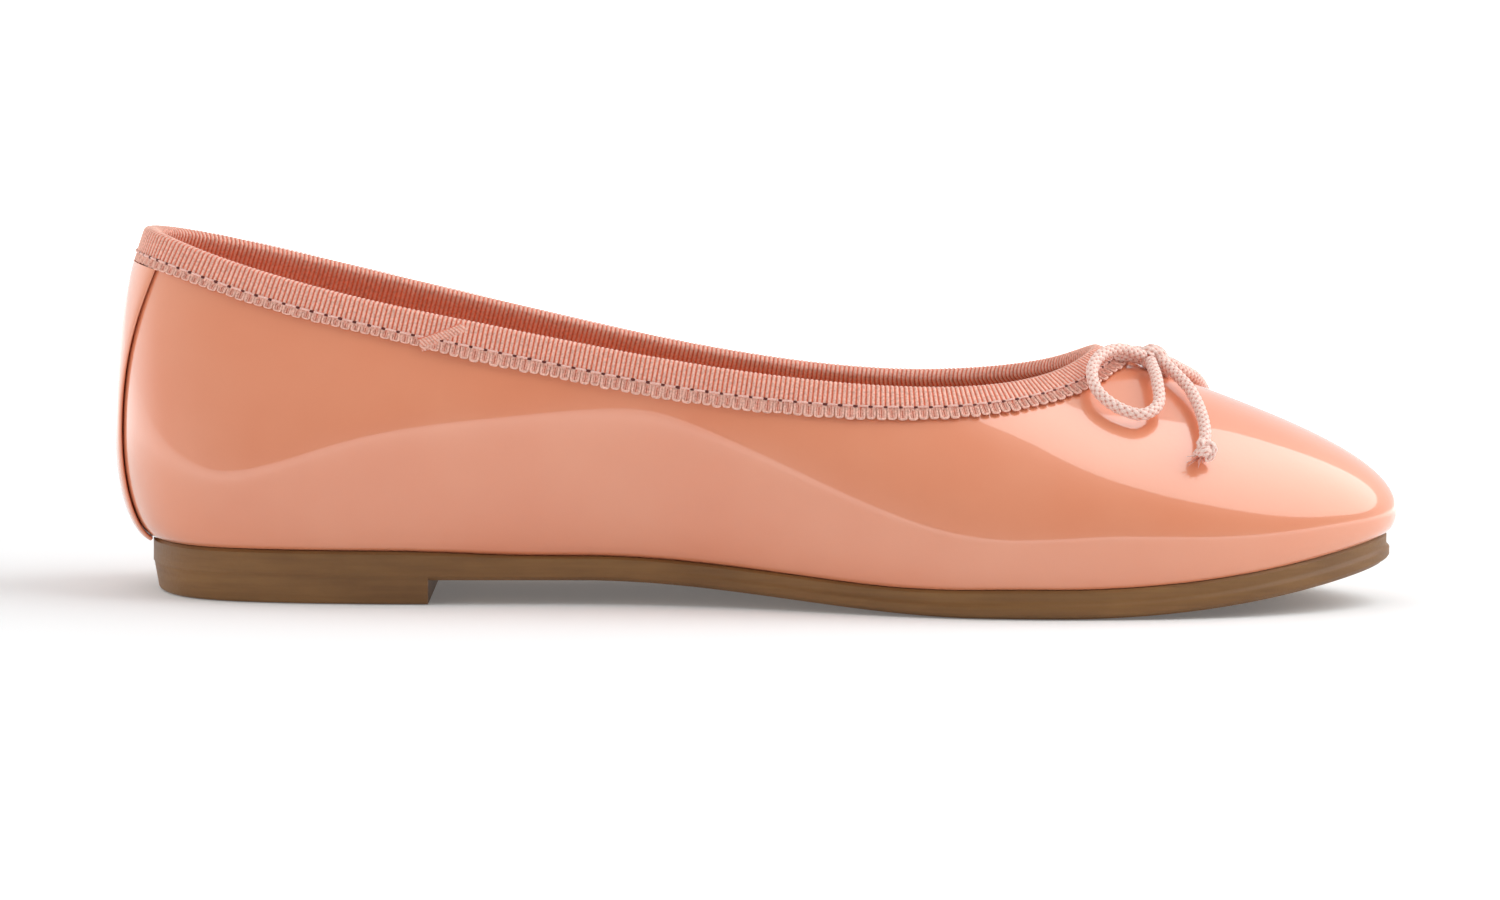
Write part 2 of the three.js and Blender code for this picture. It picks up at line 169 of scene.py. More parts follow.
class Section(NamedTuple):
    """One section of the last. Lengths are shares of the shoe's length, widths shares of the ball's
    width and topline heights shares of the back's height. swell is how far the wall stands out past
    the feather line, and swell_height where it does. lean is the wall's slope at the topline in
    degrees, and rise and lie are the handles of its curve at the swell and at the topline."""

    along: float
    inner: float
    outer: float
    swell_inner: float
    swell_outer: float
    swell_height: float
    top_along: float
    top_inner: float
    top_outer: float
    top_inner_height: float
    top_outer_height: float
    lean: float
    rise: float
    lie: float


SECTIONS = (
    Section(0.034, 0.000, 0.000, 7.3, 7.3, 31.0, 0.026, 0.000, 0.000, 0.994, 0.994, 70, 0.36, 0.30),
    Section(0.051, 0.194, 0.194, 6.2, 6.2, 29.0, 0.045, 0.146, 0.146, 0.976, 0.980, 71, 0.36, 0.31),
    Section(0.098, 0.304, 0.304, 4.6, 4.4, 23.0, 0.100, 0.228, 0.232, 0.912, 0.938, 73, 0.36, 0.33),
    Section(0.192, 0.337, 0.339, 3.8, 3.7, 30.5, 0.192, 0.296, 0.300, 0.829, 0.858, 76, 0.36, 0.33),
    Section(0.312, 0.315, 0.345, 4.3, 3.6, 35.5, 0.312, 0.327, 0.335, 0.746, 0.757, 77, 0.36, 0.33),
    Section(0.432, 0.302, 0.368, 5.4, 3.8, 35.0, 0.432, 0.349, 0.372, 0.671, 0.662, 74, 0.36, 0.33),
    Section(0.552, 0.388, 0.439, 4.2, 3.2, 24.0, 0.536, 0.366, 0.396, 0.624, 0.602, 66, 0.34, 0.34),
    Section(0.660, 0.478, 0.507, 2.6, 2.6, 14.6, 0.620, 0.349, 0.378, 0.604, 0.583, 54, 0.32, 0.36),
    Section(0.760, 0.476, 0.504, 2.2, 2.2, 15.0, 0.686, 0.290, 0.311, 0.609, 0.599, 42, 0.28, 0.38),
    Section(0.852, 0.416, 0.430, 2.0, 2.0, 15.0, 0.732, 0.195, 0.207, 0.638, 0.634, 32, 0.24, 0.42),
    Section(0.934, 0.282, 0.278, 2.2, 2.2, 16.4, 0.757, 0.098, 0.090, 0.676, 0.675, 24, 0.20, 0.45),
    Section(0.990, 0.032, -0.032, 2.7, 2.7, 17.8, 0.765, 0.010, -0.010, 0.692, 0.692, 19, 0.17, 0.48),
)
TOE_ROW = len(SECTIONS) - 1
ROWS_ROUND = 2 * TOE_ROW


@dataclass(frozen=True)
class SoleShape:
    """Heights of the sole along the shoe."""

    length: float = 250.0
    thickness: float = 5.3
    waist_thinner: float = 0.8
    waist: tuple[float, float, float, float] = (55.0, 85.0, 145.0, 178.0)
    heel_lift: float = 4.7
    breast_at: float = 62.6
    shank_end: float = 92.0
    tread_start: float = 167.0
    tread_end: float = 183.0
    toe_spring: float = 8.7
    spring_power: float = 1.95

    def slab_height(self, x: Array) -> Array:
        """Height of the underside, without the heel, at places along the shoe."""
        shank = self.heel_lift * (1 - smooth_step(self.shank_end, self.tread_start, x))
        forward = np.maximum(0, (x - self.tread_end) / (self.length - self.tread_end))
        return shank + self.toe_spring * forward ** self.spring_power

    def thickness_at(self, x: Array) -> Array:
        """Thickness of the sole at places along the shoe."""
        begins, full, fades, ends = self.waist
        thinner = smooth_step(begins, full, x) * (1 - smooth_step(fades, ends, x))
        return self.thickness - self.waist_thinner * thinner

    def seat_height(self, x: Array) -> Array:
        """Height of the sole's top face at places along the shoe."""
        return self.slab_height(x) + self.thickness_at(x)


@dataclass
class Last:
    """The foot form that every piece is shaped on. A place on its face is a section number round the
    shoe, from the heel's back along the inner side, and a distance down from the topline."""

    length: float = 250.0
    ball_width: float = 82.0
    back_height: float = 70.0
    lasting_margin: float = 9.0
    roll_out: float = 0.6
    roll_rise: float = 0.55
    gap: float = 0.3
    fine: int = 160
    sole: SoleShape = field(default_factory=SoleShape)

    def __post_init__(self) -> None:
        """Works out the closed splines of the sections' columns."""
        rows = []
        for i in range(ROWS_ROUND):
            is_inner = i <= TOE_ROW
            s = SECTIONS[i if is_inner else ROWS_ROUND - i]
            rows.append({
                "x": s.along * self.length,
                "y": (-s.inner if is_inner else s.outer) * self.ball_width,
                "swell": s.swell_inner if is_inner else s.swell_outer,
                "swell_height": s.swell_height,
                "top_x": s.top_along * self.length,
                "top_y": (-s.top_inner if is_inner else s.top_outer) * self.ball_width,
                "top_z": (s.top_inner_height if is_inner else s.top_outer_height) * self.back_height,
                "lean": math.radians(s.lean),
                "rise": s.rise,
                "lie": s.lie,
            })
        self.values = {key: np.array([row[key] for row in rows]) for key in rows[0]}
        ring = np.eye(ROWS_ROUND)
        system = 4 * ring + np.roll(ring, 1, axis=1) + np.roll(ring, -1, axis=1)
        self.bends = {
            key: np.linalg.solve(system, 6 * (np.roll(v, -1) - 2 * v + np.roll(v, 1)))
            for key, v in self.values.items()
        }

    def column(self, key: str, u: Array) -> Array:
        """Reads one column of the sections between its rows.

        Args:
            key: The column's name.
            u: Section numbers.

        Returns:
            The values there, on a closed spline.
        """
        i = np.floor(u).astype(int)
        t = u - i
        s = 1 - t
        here, after = i % ROWS_ROUND, (i + 1) % ROWS_ROUND
        value, bend = self.values[key], self.bends[key]
        curve = bend[here] * (s ** 3 - s) + bend[after] * (t ** 3 - t)
        return value[here] * s + value[after] * t + curve / 6

    def outward(self, x_key: str, y_key: str, u: Array) -> Array:
        """Level outward directions of a closed plan curve of two columns."""
        step = 0.01
        dx = self.column(x_key, u + step) - self.column(x_key, u - step)
        dy = self.column(y_key, u + step) - self.column(y_key, u - step)
        return unit(np.stack([dy, -dx, np.zeros_like(dx)], axis=-1))

    def feather_at(self, u: Array, out: Array | float) -> Array:
        """Points of the feather line in plan, moved out by a distance."""
        line = np.stack([self.column("x", u), self.column("y", u), np.zeros_like(u)], axis=-1)
        return line + self.outward("x", "y", u) * np.asarray(out, float).reshape(-1, 1)

    def ribs(self, u: Array) -> tuple[Array, Array]:
        """Lines down the outer face, from the topline to the edge of the lasting margin.

        Args:
            u: Section numbers.

        Returns:
            The points of each line, and the distances along it.
        """
        up = np.array([0.0, 0.0, 1.0])
        out = self.outward("x", "y", u)
        feather = self.feather_at(u, 0.0)
        feather[:, 2] = self.sole.seat_height(feather[:, 0]) + self.gap
        margin = self.feather_at(u, -self.lasting_margin)
        margin[:, 2] = self.sole.seat_height(margin[:, 0]) + self.gap
        swell = self.feather_at(u, self.column("swell", u))
        swell[:, 2] = self.column("swell_height", u)
        top = np.stack([self.column(key, u) for key in ("top_x", "top_y", "top_z")], axis=-1)
        chord = np.linalg.norm(swell - top, axis=1)[:, None]
        lean = self.column("lean", u)[:, None]
        lie = self.outward("top_x", "top_y", u) * np.cos(lean) - up * np.sin(lean)
        roll_out = feather + out * (self.roll_out * self.column("swell", u))[:, None]
        roll_up = swell - up * (self.roll_rise * (swell[:, 2] - feather[:, 2]))[:, None]
        wall_up = swell + up * self.column("rise", u)[:, None] * chord
        wall_top = top + lie * self.column("lie", u)[:, None] * chord
        wall = bezier(swell, wall_up, wall_top, top, self.fine)[:, ::-1]
        roll = bezier(feather, roll_out, roll_up, swell, self.fine)[:, ::-1]
        points = np.concatenate([wall, roll[:, 1:], margin[:, None]], axis=1)
        steps = np.linalg.norm(np.diff(points, axis=1), axis=2)
        distances = np.concatenate([np.zeros((len(u), 1)), np.cumsum(steps, axis=1)], axis=1)
        return points, distances

    def face(self, u: Array, down: Array) -> Array:
        """Points of the outer face.

        Args:
            u: Section numbers, one for each column.
            down: Distances down from the topline, columns by rows. Above the topline the face runs on
                straight.

        Returns:
            An array of columns by rows by 3.
        """
        points, distances = self.ribs(u)
        made = np.empty((*down.shape, 3))
        for i in range(len(u)):
            for k in range(3):
                made[i, :, k] = np.interp(down[i], distances[i], points[i, :, k])
        start = unit(points[:, 1] - points[:, 0])
        return made + np.minimum(down, 0)[..., None] * start[:, None]

    def normals(self, u: Array, down: Array) -> Array:
        """Outward normals of the outer face, for the same places as face."""
        du, ds = 0.02, 0.15
        along = self.face(u + du, down) - self.face(u - du, down)
        below = self.face(u, down + ds) - self.face(u, down - ds)
        return unit(np.cross(below, along))

    def off_face(self, u: Array, down: Array, offset: Array | float) -> Array:
        """Points off the outer face: negative offsets lie inside the wall and beyond it."""
        lift = np.broadcast_to(np.asarray(offset, float), down.shape)[..., None]
        return self.face(u, down) + self.normals(u, down) * lift

    def evenly(self, pitch: float, down: float, offset: float) -> Array:
        """Section numbers that lie evenly round the shoe.

        Args:
            pitch: The spacing that is aimed at.
            down: Where the spacing is measured, from the topline.
            offset: Where it is measured, off the outer face.

        Returns:
            The section numbers, from the heel's back round to it.
        """
        samples_per_section = 60
        u = np.linspace(0, ROWS_ROUND, ROWS_ROUND * samples_per_section + 1)
        line = self.off_face(u, np.full((len(u), 1), down), offset)[:, 0]
        along = lengths_along(line)
        count = round(along[-1] / pitch)
        return np.interp(np.arange(count) * along[-1] / count, along, u)

    def section_at(self, x: float, side: Side, down: float = 0.0) -> float:
        """The section number where the face reaches a place along the shoe, on one side."""
        if side is Side.INNER:
            u = np.linspace(0, TOE_ROW, 800)
        else:
            u = np.linspace(ROWS_ROUND, TOE_ROW, 800)
        reach = self.face(u, np.full((len(u), 1), down))[:, 0, 0]
        return float(np.interp(x, reach, u))


LAST = Last()


class Edge:
    """A strip along the topline whose lines run down square to it, for what is bound over the edge."""

    REACH = 7.0

    def __init__(self, u: Array) -> None:
        """Measures the strip.

        Args:
            u: Section numbers of its lines.
        """
        zero = np.zeros((len(u), 1))
        step = 0.02
        start = LAST.face(u, zero)[:, 0]
        span = LAST.face(u + step, zero)[:, 0] - LAST.face(u - step, zero)[:, 0]
        speed = np.linalg.norm(span, axis=1) / (2 * step)
        self.tangents = unit(span)
        points, normals = [], []
        for down in (0.0, self.REACH / 2, self.REACH):
            moved = u.copy()
            for _ in range(3):
                slip = LAST.face(moved, zero + down)[:, 0] - start
                moved = moved - np.sum(slip * self.tangents, axis=1) / speed
            points.append(LAST.face(moved, zero + down)[:, 0])
            normals.append(LAST.normals(moved, zero + down)[:, 0])
        self.points = np.stack(points)
        self.normals = np.stack(normals)

    def shares(self, down: Array) -> Array:
        """How much of the three measured lines goes into each distance down, lines by places by rows."""
        t = down / self.REACH
        return np.stack([(1 - t) * (1 - 2 * t), 4 * t * (1 - t), t * (2 * t - 1)])

    def outward_at(self, down: Array) -> Array:
        """Outward normals, for distances down given as lines by rows."""
        return unit(np.einsum("kij,kic->ijc", self.shares(np.maximum(down, 0)), self.normals))

    def at(self, down: Array, offset: Array) -> Array:
        """Points off the face, for distances down and offsets given as lines by rows."""
        face = np.einsum("kij,kic->ijc", self.shares(down), self.points)
        return face + self.outward_at(down) * offset[..., None]


# Meshes


@dataclass
class Form:
    """Points, faces and point values of a mesh on the last, in millimetres."""

    points: Array
    faces: list[list[int]]
    values: dict[str, Array] = field(default_factory=dict)

    def volume(self) -> float:
        """Volume of a closed form, negative where its faces point inwards."""
        total = 0.0
        by_size: dict[int, list[list[int]]] = {}
        for face in self.faces:
            by_size.setdefault(len(face), []).append(face)
        for size, faces in by_size.items():
            corners = self.points[np.array(faces)]
            for k in range(1, size - 1):
                total += float(np.sum(corners[:, 0] * np.cross(corners[:, k], corners[:, k + 1])))
        return total / 6

    def turned_out(self) -> "Form":
        """Turns the faces of a closed form outwards."""
        if self.volume() < 0:
            self.faces = [face[::-1] for face in self.faces]
        return self

    def joined(self, other: "Form") -> "Form":
        """This form and another as one mesh."""
        start = len(self.points)
        faces = self.faces + [[i + start for i in face] for face in other.faces]
        values = {key: np.concatenate([v, other.values[key]]) for key, v in self.values.items()}
        return Form(np.vstack([self.points, other.points]), faces, values)

    def mesh(self, name: str, shift: Array, sharp_from: float = 180.0) -> bpy.types.Mesh:
        """Makes a smooth-shaded mesh in metres.

        Args:
            name: The mesh's name.
            shift: What takes the last's millimetres to the frame's.
            sharp_from: Edges that bend by more than this many degrees stay sharp.

        Returns:
            The mesh.
        """
        mesh = bpy.data.meshes.new(name)
        mesh.from_pydata(((self.points + shift) * MM).tolist(), [], self.faces)
        mesh.shade_smooth()
        if sharp_from < 180:
            mesh.set_sharp_from_angle(angle=math.radians(sharp_from))
        for key, v in self.values.items():
            kind = "FLOAT" if v.ndim == 1 else "FLOAT_VECTOR"
            target = "value" if v.ndim == 1 else "vector"
            mesh.attributes.new(key, kind, "POINT").data.foreach_set(target, v.astype(np.float32).ravel())
        mesh.validate()
        return mesh


def band(sections: Array, values: dict[str, Array] | None = None) -> Form:
    """A closed ring of closed sections.

    Args:
        sections: Sections by points by 3. The last section joins the first.
        values: Point values, sections by points.

    Returns:
        The form, with its faces pointing out.
    """
    count, size = sections.shape[:2]
    i, k = np.meshgrid(np.arange(count), np.arange(size), indexing="ij")
    j, m = (i + 1) % count, (k + 1) % size
    quads = np.stack([i * size + k, j * size + k, j * size + m, i * size + m], axis=-1)
    flat = {key: v.reshape(-1) for key, v in (values or {}).items()}
    return Form(sections.reshape(-1, 3), quads.reshape(-1, 4).tolist(), flat).turned_out()


def ring_quads(count: int, size: int) -> list[list[int]]:
    """Four-sided faces between rings of one size, each over the one before."""
    r, k = np.meshgrid(np.arange(count - 1), np.arange(size), indexing="ij")
    m = (k + 1) % size
    quads = np.stack([r * size + k, r * size + m, (r + 1) * size + m, (r + 1) * size + k], axis=-1)
    return quads.reshape(-1, 4).tolist()


def stack_of_rings(rings: Array, values: dict[str, Array] | None = None) -> Form:
    """Rings of points one over another, closed at both ends by strips across them.

    Args:
        rings: Rings by points by 3.
        values: Point values, rings by points.

    Returns:
        The form, with its faces pointing out.
    """
    count, size = rings.shape[:2]
    faces = ring_quads(count, size)
    for start, is_top in ((0, False), ((count - 1) * size, True)):
        for a in range(size // 2):
            strip = [a, a + 1, size - a - 1, (size - a) % size]
            strip = [start + p for n, p in enumerate(strip) if p not in strip[:n]]
            if len(strip) > 2:
                faces.append(strip if is_top else strip[::-1])
    flat = {key: v.reshape(-1) for key, v in (values or {}).items()}
    return Form(rings.reshape(-1, 3), faces, flat).turned_out()


def tube(path: Array, radius: Array, sides: int, start_axis: Array | None = None) -> Array:
    """Rings of directions round a path, without twist.

    Args:
        path: The ring centres.
        radius: Radii, rings by sides.
        sides: Points in each ring.
        start_axis: A direction that the first point of the first ring leans towards.

    Returns:
        The points, rings by sides by 3.
    """
    along = unit(np.gradient(path, axis=0))
    axis = np.array([0.0, 0.0, 1.0]) if start_axis is None else start_axis
    side = unit(axis - along[0] * np.dot(axis, along[0]))
    sides_of = [side]
    for i in range(1, len(path)):
        side = unit(side - along[i] * np.dot(side, along[i]))
        sides_of.append(side)
    first = np.array(sides_of)
    second = np.cross(along, first)
    angles = np.arange(sides) * 2 * math.pi / sides
    around = first[:, None] * np.cos(angles)[:, None] + second[:, None] * np.sin(angles)[:, None]
    return path[:, None] + around * radius[..., None]


def capped(rings: Array, values: dict[str, Array] | None = None) -> Form:
    """A tube of rings with a cap over each end.

    Args:
        rings: Rings by points by 3.
        values: Point values, rings by points.

    Returns:
        The form, with its faces pointing out.
    """
    count, size = rings.shape[:2]
    faces = ring_quads(count, size)
    faces.append(list(range(size))[::-1])
    faces.append([(count - 1) * size + p for p in range(size)])
    flat = {key: v.reshape(-1) for key, v in (values or {}).items()}
    return Form(rings.reshape(-1, 3), faces, flat).turned_out()


def piece(name: str, mesh: bpy.types.Mesh, finish: bpy.types.Material, slot: str,
          *replaced: str) -> bpy.types.Object:
    """Makes a mesh a piece of the shoe.

    Args:
        name: The piece's name.
        mesh: Its mesh, in the frame.
        finish: Its material, unless the mesh has its own.
        slot: The record's material slot; not used.
        *replaced: The nodes that it stands for.

    Returns:
        The object, on its body.
    """
    obj = bpy.data.objects.new(name, mesh)
    bpy.context.scene.collection.objects.link(obj)
    if not any(mesh.materials):
        mesh.materials.clear()
        mesh.materials.append(finish)
    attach(obj, BODY)
    if replaced:
        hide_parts(*replaced)
    triangles = sum(len(p.vertices) - 2 for p in mesh.polygons)
    LOG.info("%s: %d triangles", name, triangles)
    return obj


# Finishes


class NodeSheet:
    """The node tree of one material, built a node at a time."""

    def __init__(self, name: str) -> None:
        """Starts a material with a principled shader."""
        self.material = bpy.data.materials.new(name)
        self.material.use_nodes = True
        self.tree = self.material.node_tree
        self.shader = self.tree.nodes["Principled BSDF"]

    def add(self, kind: str, inputs: dict[str | int, object] | None = None,
            **settings: object) -> bpy.types.Node:
        """Adds a node.

        Args:
            kind: The node's type.
            inputs: Its inputs by name, as values or as sockets to link from.
            **settings: Its own properties.

        Returns:
            The node.
        """
        node = self.tree.nodes.new(kind)
        for key, value in settings.items():
            setattr(node, key, value)
        for key, value in (inputs or {}).items():
            self.feed(node.inputs[key], value)
        return node

    def feed(self, target: bpy.types.NodeSocket, value: object) -> None:
        """Sets an input to a value, or links a socket to it."""
        if isinstance(value, bpy.types.NodeSocket):
            self.tree.links.new(value, target)
        else:
            target.default_value = value

    def shade(self, **inputs: object) -> None:
        """Sets the shader's inputs, named with underscores for spaces."""
        for key, value in inputs.items():
            self.feed(self.shader.inputs[key.replace("_", " ")], value)

    def place(self) -> bpy.types.NodeSocket:
        """Object coordinates, in metres."""
        return self.add("ShaderNodeTexCoord").outputs["Object"]

    def noise(self, scale: float, detail: float = 2.0, stretch: tuple[float, float, float] = (1, 1, 1)
              ) -> bpy.types.NodeSocket:
        """A noise over the piece.

        Args:
            scale: Cells in a metre.
            detail: Octaves.
            stretch: Scales of the three axes.

        Returns:
            Its value, from 0 to 1.
        """
        spread = self.add("ShaderNodeMapping", {"Vector": self.place(), "Scale": stretch})
        inputs = {"Vector": spread.outputs["Vector"], "Scale": scale, "Detail": detail}
        return self.add("ShaderNodeTexNoise", inputs).outputs["Fac"]

    def value(self, name: str) -> bpy.types.NodeSocket:
        """A point value of the mesh."""
        return self.add("ShaderNodeAttribute", attribute_name=name).outputs["Fac"]

    def blend(self, share: bpy.types.NodeSocket, low: Colour, high: Colour, start: float = 0.0,
              end: float = 1.0) -> bpy.types.NodeSocket:
        """A colour between two, by a share that runs from start to end."""
        ramp = self.add("ShaderNodeValToRGB", {"Fac": share})
        ramp.color_ramp.elements[0].position = start
        ramp.color_ramp.elements[0].color = low
        ramp.color_ramp.elements[1].position = end
        ramp.color_ramp.elements[1].color = high
        return ramp.outputs["Color"]

    def tinted(self, base: bpy.types.NodeSocket, tint: bpy.types.NodeSocket) -> bpy.types.NodeSocket:
        """One colour multiplied by another."""
        mix = self.add("ShaderNodeMix", data_type="RGBA", blend_type="MULTIPLY")
        mix.inputs[0].default_value = 1.0
        self.tree.links.new(base, mix.inputs[6])
        self.tree.links.new(tint, mix.inputs[7])
        return mix.outputs[2]

    def ranged(self, share: bpy.types.NodeSocket, low: float, high: float) -> bpy.types.NodeSocket:
        """A value that runs from low to high with a share from 0 to 1."""
        return self.add("ShaderNodeMapRange", {"Value": share, "To Min": low, "To Max": high}).outputs[0]

    def bump(self, height: bpy.types.NodeSocket, distance: float, strength: float = 1.0,
             under: bpy.types.NodeSocket | None = None) -> bpy.types.NodeSocket:
        """A normal that follows a height in metres times distance, over another normal if given."""
        inputs = {"Height": height, "Distance": distance, "Strength": strength}
        if under is not None:
            inputs["Normal"] = under
        return self.add("ShaderNodeBump", inputs).outputs["Normal"]


@dataclass(frozen=True)
class PatentFinish:
    """Patent leather: a soft coloured ground under a clear, slightly wavy varnish."""

    name: str = "patent"
    deep: str = "e58b65"
    pale: str = "e99672"
    varnish: float = 1.0
    varnish_roughness: float = 0.035
    varnish_ior: float = 1.6
    ground_roughness: float = 0.28

    def material(self) -> bpy.types.Material:
        """Makes the material."""
        sheet = NodeSheet(self.name)
        cloud = sheet.noise(28.0, 3.0)
        colour = sheet.blend(cloud, paint(self.deep), paint(self.pale), 0.3, 0.7)
        grain = sheet.bump(sheet.noise(900.0, 2.0), 0.00002)
        wave = sheet.bump(sheet.noise(45.0, 1.0), 0.00012, 0.5)
        sheet.shade(
            Base_Color=colour, Roughness=self.ground_roughness, Normal=grain, Coat_Weight=self.varnish,
            Coat_Roughness=self.varnish_roughness, Coat_IOR=self.varnish_ior, Coat_Normal=wave, IOR=1.5,
        )
        return sheet.material


@dataclass(frozen=True)
class LiningFinish:
    """Plain lining leather, matt, with a fine grain."""

    name: str = "lining"
    deep: str = "dda586"
    pale: str = "e9bb9f"
    grain_scale: float = 1400.0

    def material(self) -> bpy.types.Material:
        """Makes the material."""
        sheet = NodeSheet(self.name)
        colour = sheet.blend(sheet.noise(60.0, 4.0), paint(self.deep), paint(self.pale), 0.3, 0.75)
        pores = sheet.add("ShaderNodeTexVoronoi", {"Vector": sheet.place(), "Scale": self.grain_scale})
        grain = sheet.bump(pores.outputs["Distance"], 0.00012, 0.6)
        sheet.shade(Base_Color=colour, Roughness=sheet.ranged(sheet.noise(300.0), 0.6, 0.78), Normal=grain)
        return sheet.material


@dataclass(frozen=True)
class RibbonFinish:
    """Ribbed ribbon with the threads of its weave, its grooves painted deeper than the rib tops as painted
    shade.
    """

    name: str = "ribbon"
    groove_shade: str = "e2643a"
    top: str = "f6c4b2"
    thread_scale: float = 2600.0

    def material(self) -> bpy.types.Material:
        """Makes the material."""
        sheet = NodeSheet(self.name)
        # Colour follows the rib height: deep groove colour low down, pale top colour high up, painted shade in
        # the grooves.
        colour = sheet.blend(sheet.value("rib"), paint(self.groove_shade), paint(self.top), 0.15, 0.9)
        fleck = sheet.noise(self.thread_scale, 2.0)
        tint = sheet.blend(fleck, paint("d8cfcc"), paint("ffffff"), 0.3, 0.62)
        threads = sheet.bump(fleck, 0.00015, 0.5)
        sheet.shade(
            Base_Color=sheet.tinted(colour, tint), Roughness=sheet.ranged(fleck, 0.5, 0.8), Normal=threads,
            Sheen_Weight=0.35, Sheen_Roughness=0.4, Sheen_Tint=paint("ffe3d8"),
        )
        return sheet.material


@dataclass(frozen=True)
class CordFinish:
    """Braided cord of bright thread: pale plies, with the gaps between them painted deeper as painted shade.
    """

    name: str = "cord"
    gap: str = "d97b61"
    ply: str = "fbe0d6"

    def material(self) -> bpy.types.Material:
        """Makes the material."""
        sheet = NodeSheet(self.name)
        # Colour follows the ply height: the gap colour between the plies is painted shade.
        colour = sheet.blend(sheet.value("ply"), paint(self.gap), paint(self.ply), 0.3, 0.82)
        fleck = sheet.noise(4200.0, 2.0)
        tint = sheet.blend(fleck, paint("e6dcd8"), paint("ffffff"), 0.32, 0.6)
        sheet.shade(
            Base_Color=sheet.tinted(colour, tint), Roughness=sheet.ranged(fleck, 0.3, 0.55),
            Normal=sheet.bump(fleck, 0.0001, 0.5), Sheen_Weight=0.3, Sheen_Roughness=0.35,
        )
        return sheet.material


@dataclass(frozen=True)
class ThreadFinish:
    """Sewing thread, or the painted shade of a needle hole."""

    name: str
    deep: str
    pale: str

    def material(self) -> bpy.types.Material:
        """Makes the material."""
        sheet = NodeSheet(self.name)
        fleck = sheet.noise(5200.0, 1.0)
        sheet.shade(
            Base_Color=sheet.blend(fleck, paint(self.deep), paint(self.pale), 0.3, 0.7),
            Roughness=sheet.ranged(fleck, 0.45, 0.7), Normal=sheet.bump(fleck, 0.00008, 0.5),
        )
        return sheet.material


@dataclass(frozen=True)
class RubberFinish:
    """Moulded gum rubber: satin, a little cloudy, with fine scuffs along its side."""

    name: str = "gum_rubber"
    deep: str = "744f27"
    pale: str = "8f6536"

    def material(self) -> bpy.types.Material:
        """Makes the material."""
        sheet = NodeSheet(self.name)
        cloud = sheet.noise(38.0, 5.0, (1, 1, 2.4))
        colour = sheet.blend(cloud, paint(self.deep), paint(self.pale), 0.3, 0.72)
        speck = sheet.noise(1500.0, 3.0)
        streak = sheet.noise(160.0, 3.0, (0.35, 0.35, 6.0))
        tint = sheet.blend(streak, paint("f1ede8"), paint("ffffff"), 0.35, 0.6)
        normal = sheet.bump(streak, 0.00003, 0.4, sheet.bump(speck, 0.00006, 0.5))
        sheet.shade(
            Base_Color=sheet.tinted(colour, tint), Roughness=sheet.ranged(speck, 0.4, 0.62), Normal=normal,
            IOR=1.5,
        )
        return sheet.material


# Repeats


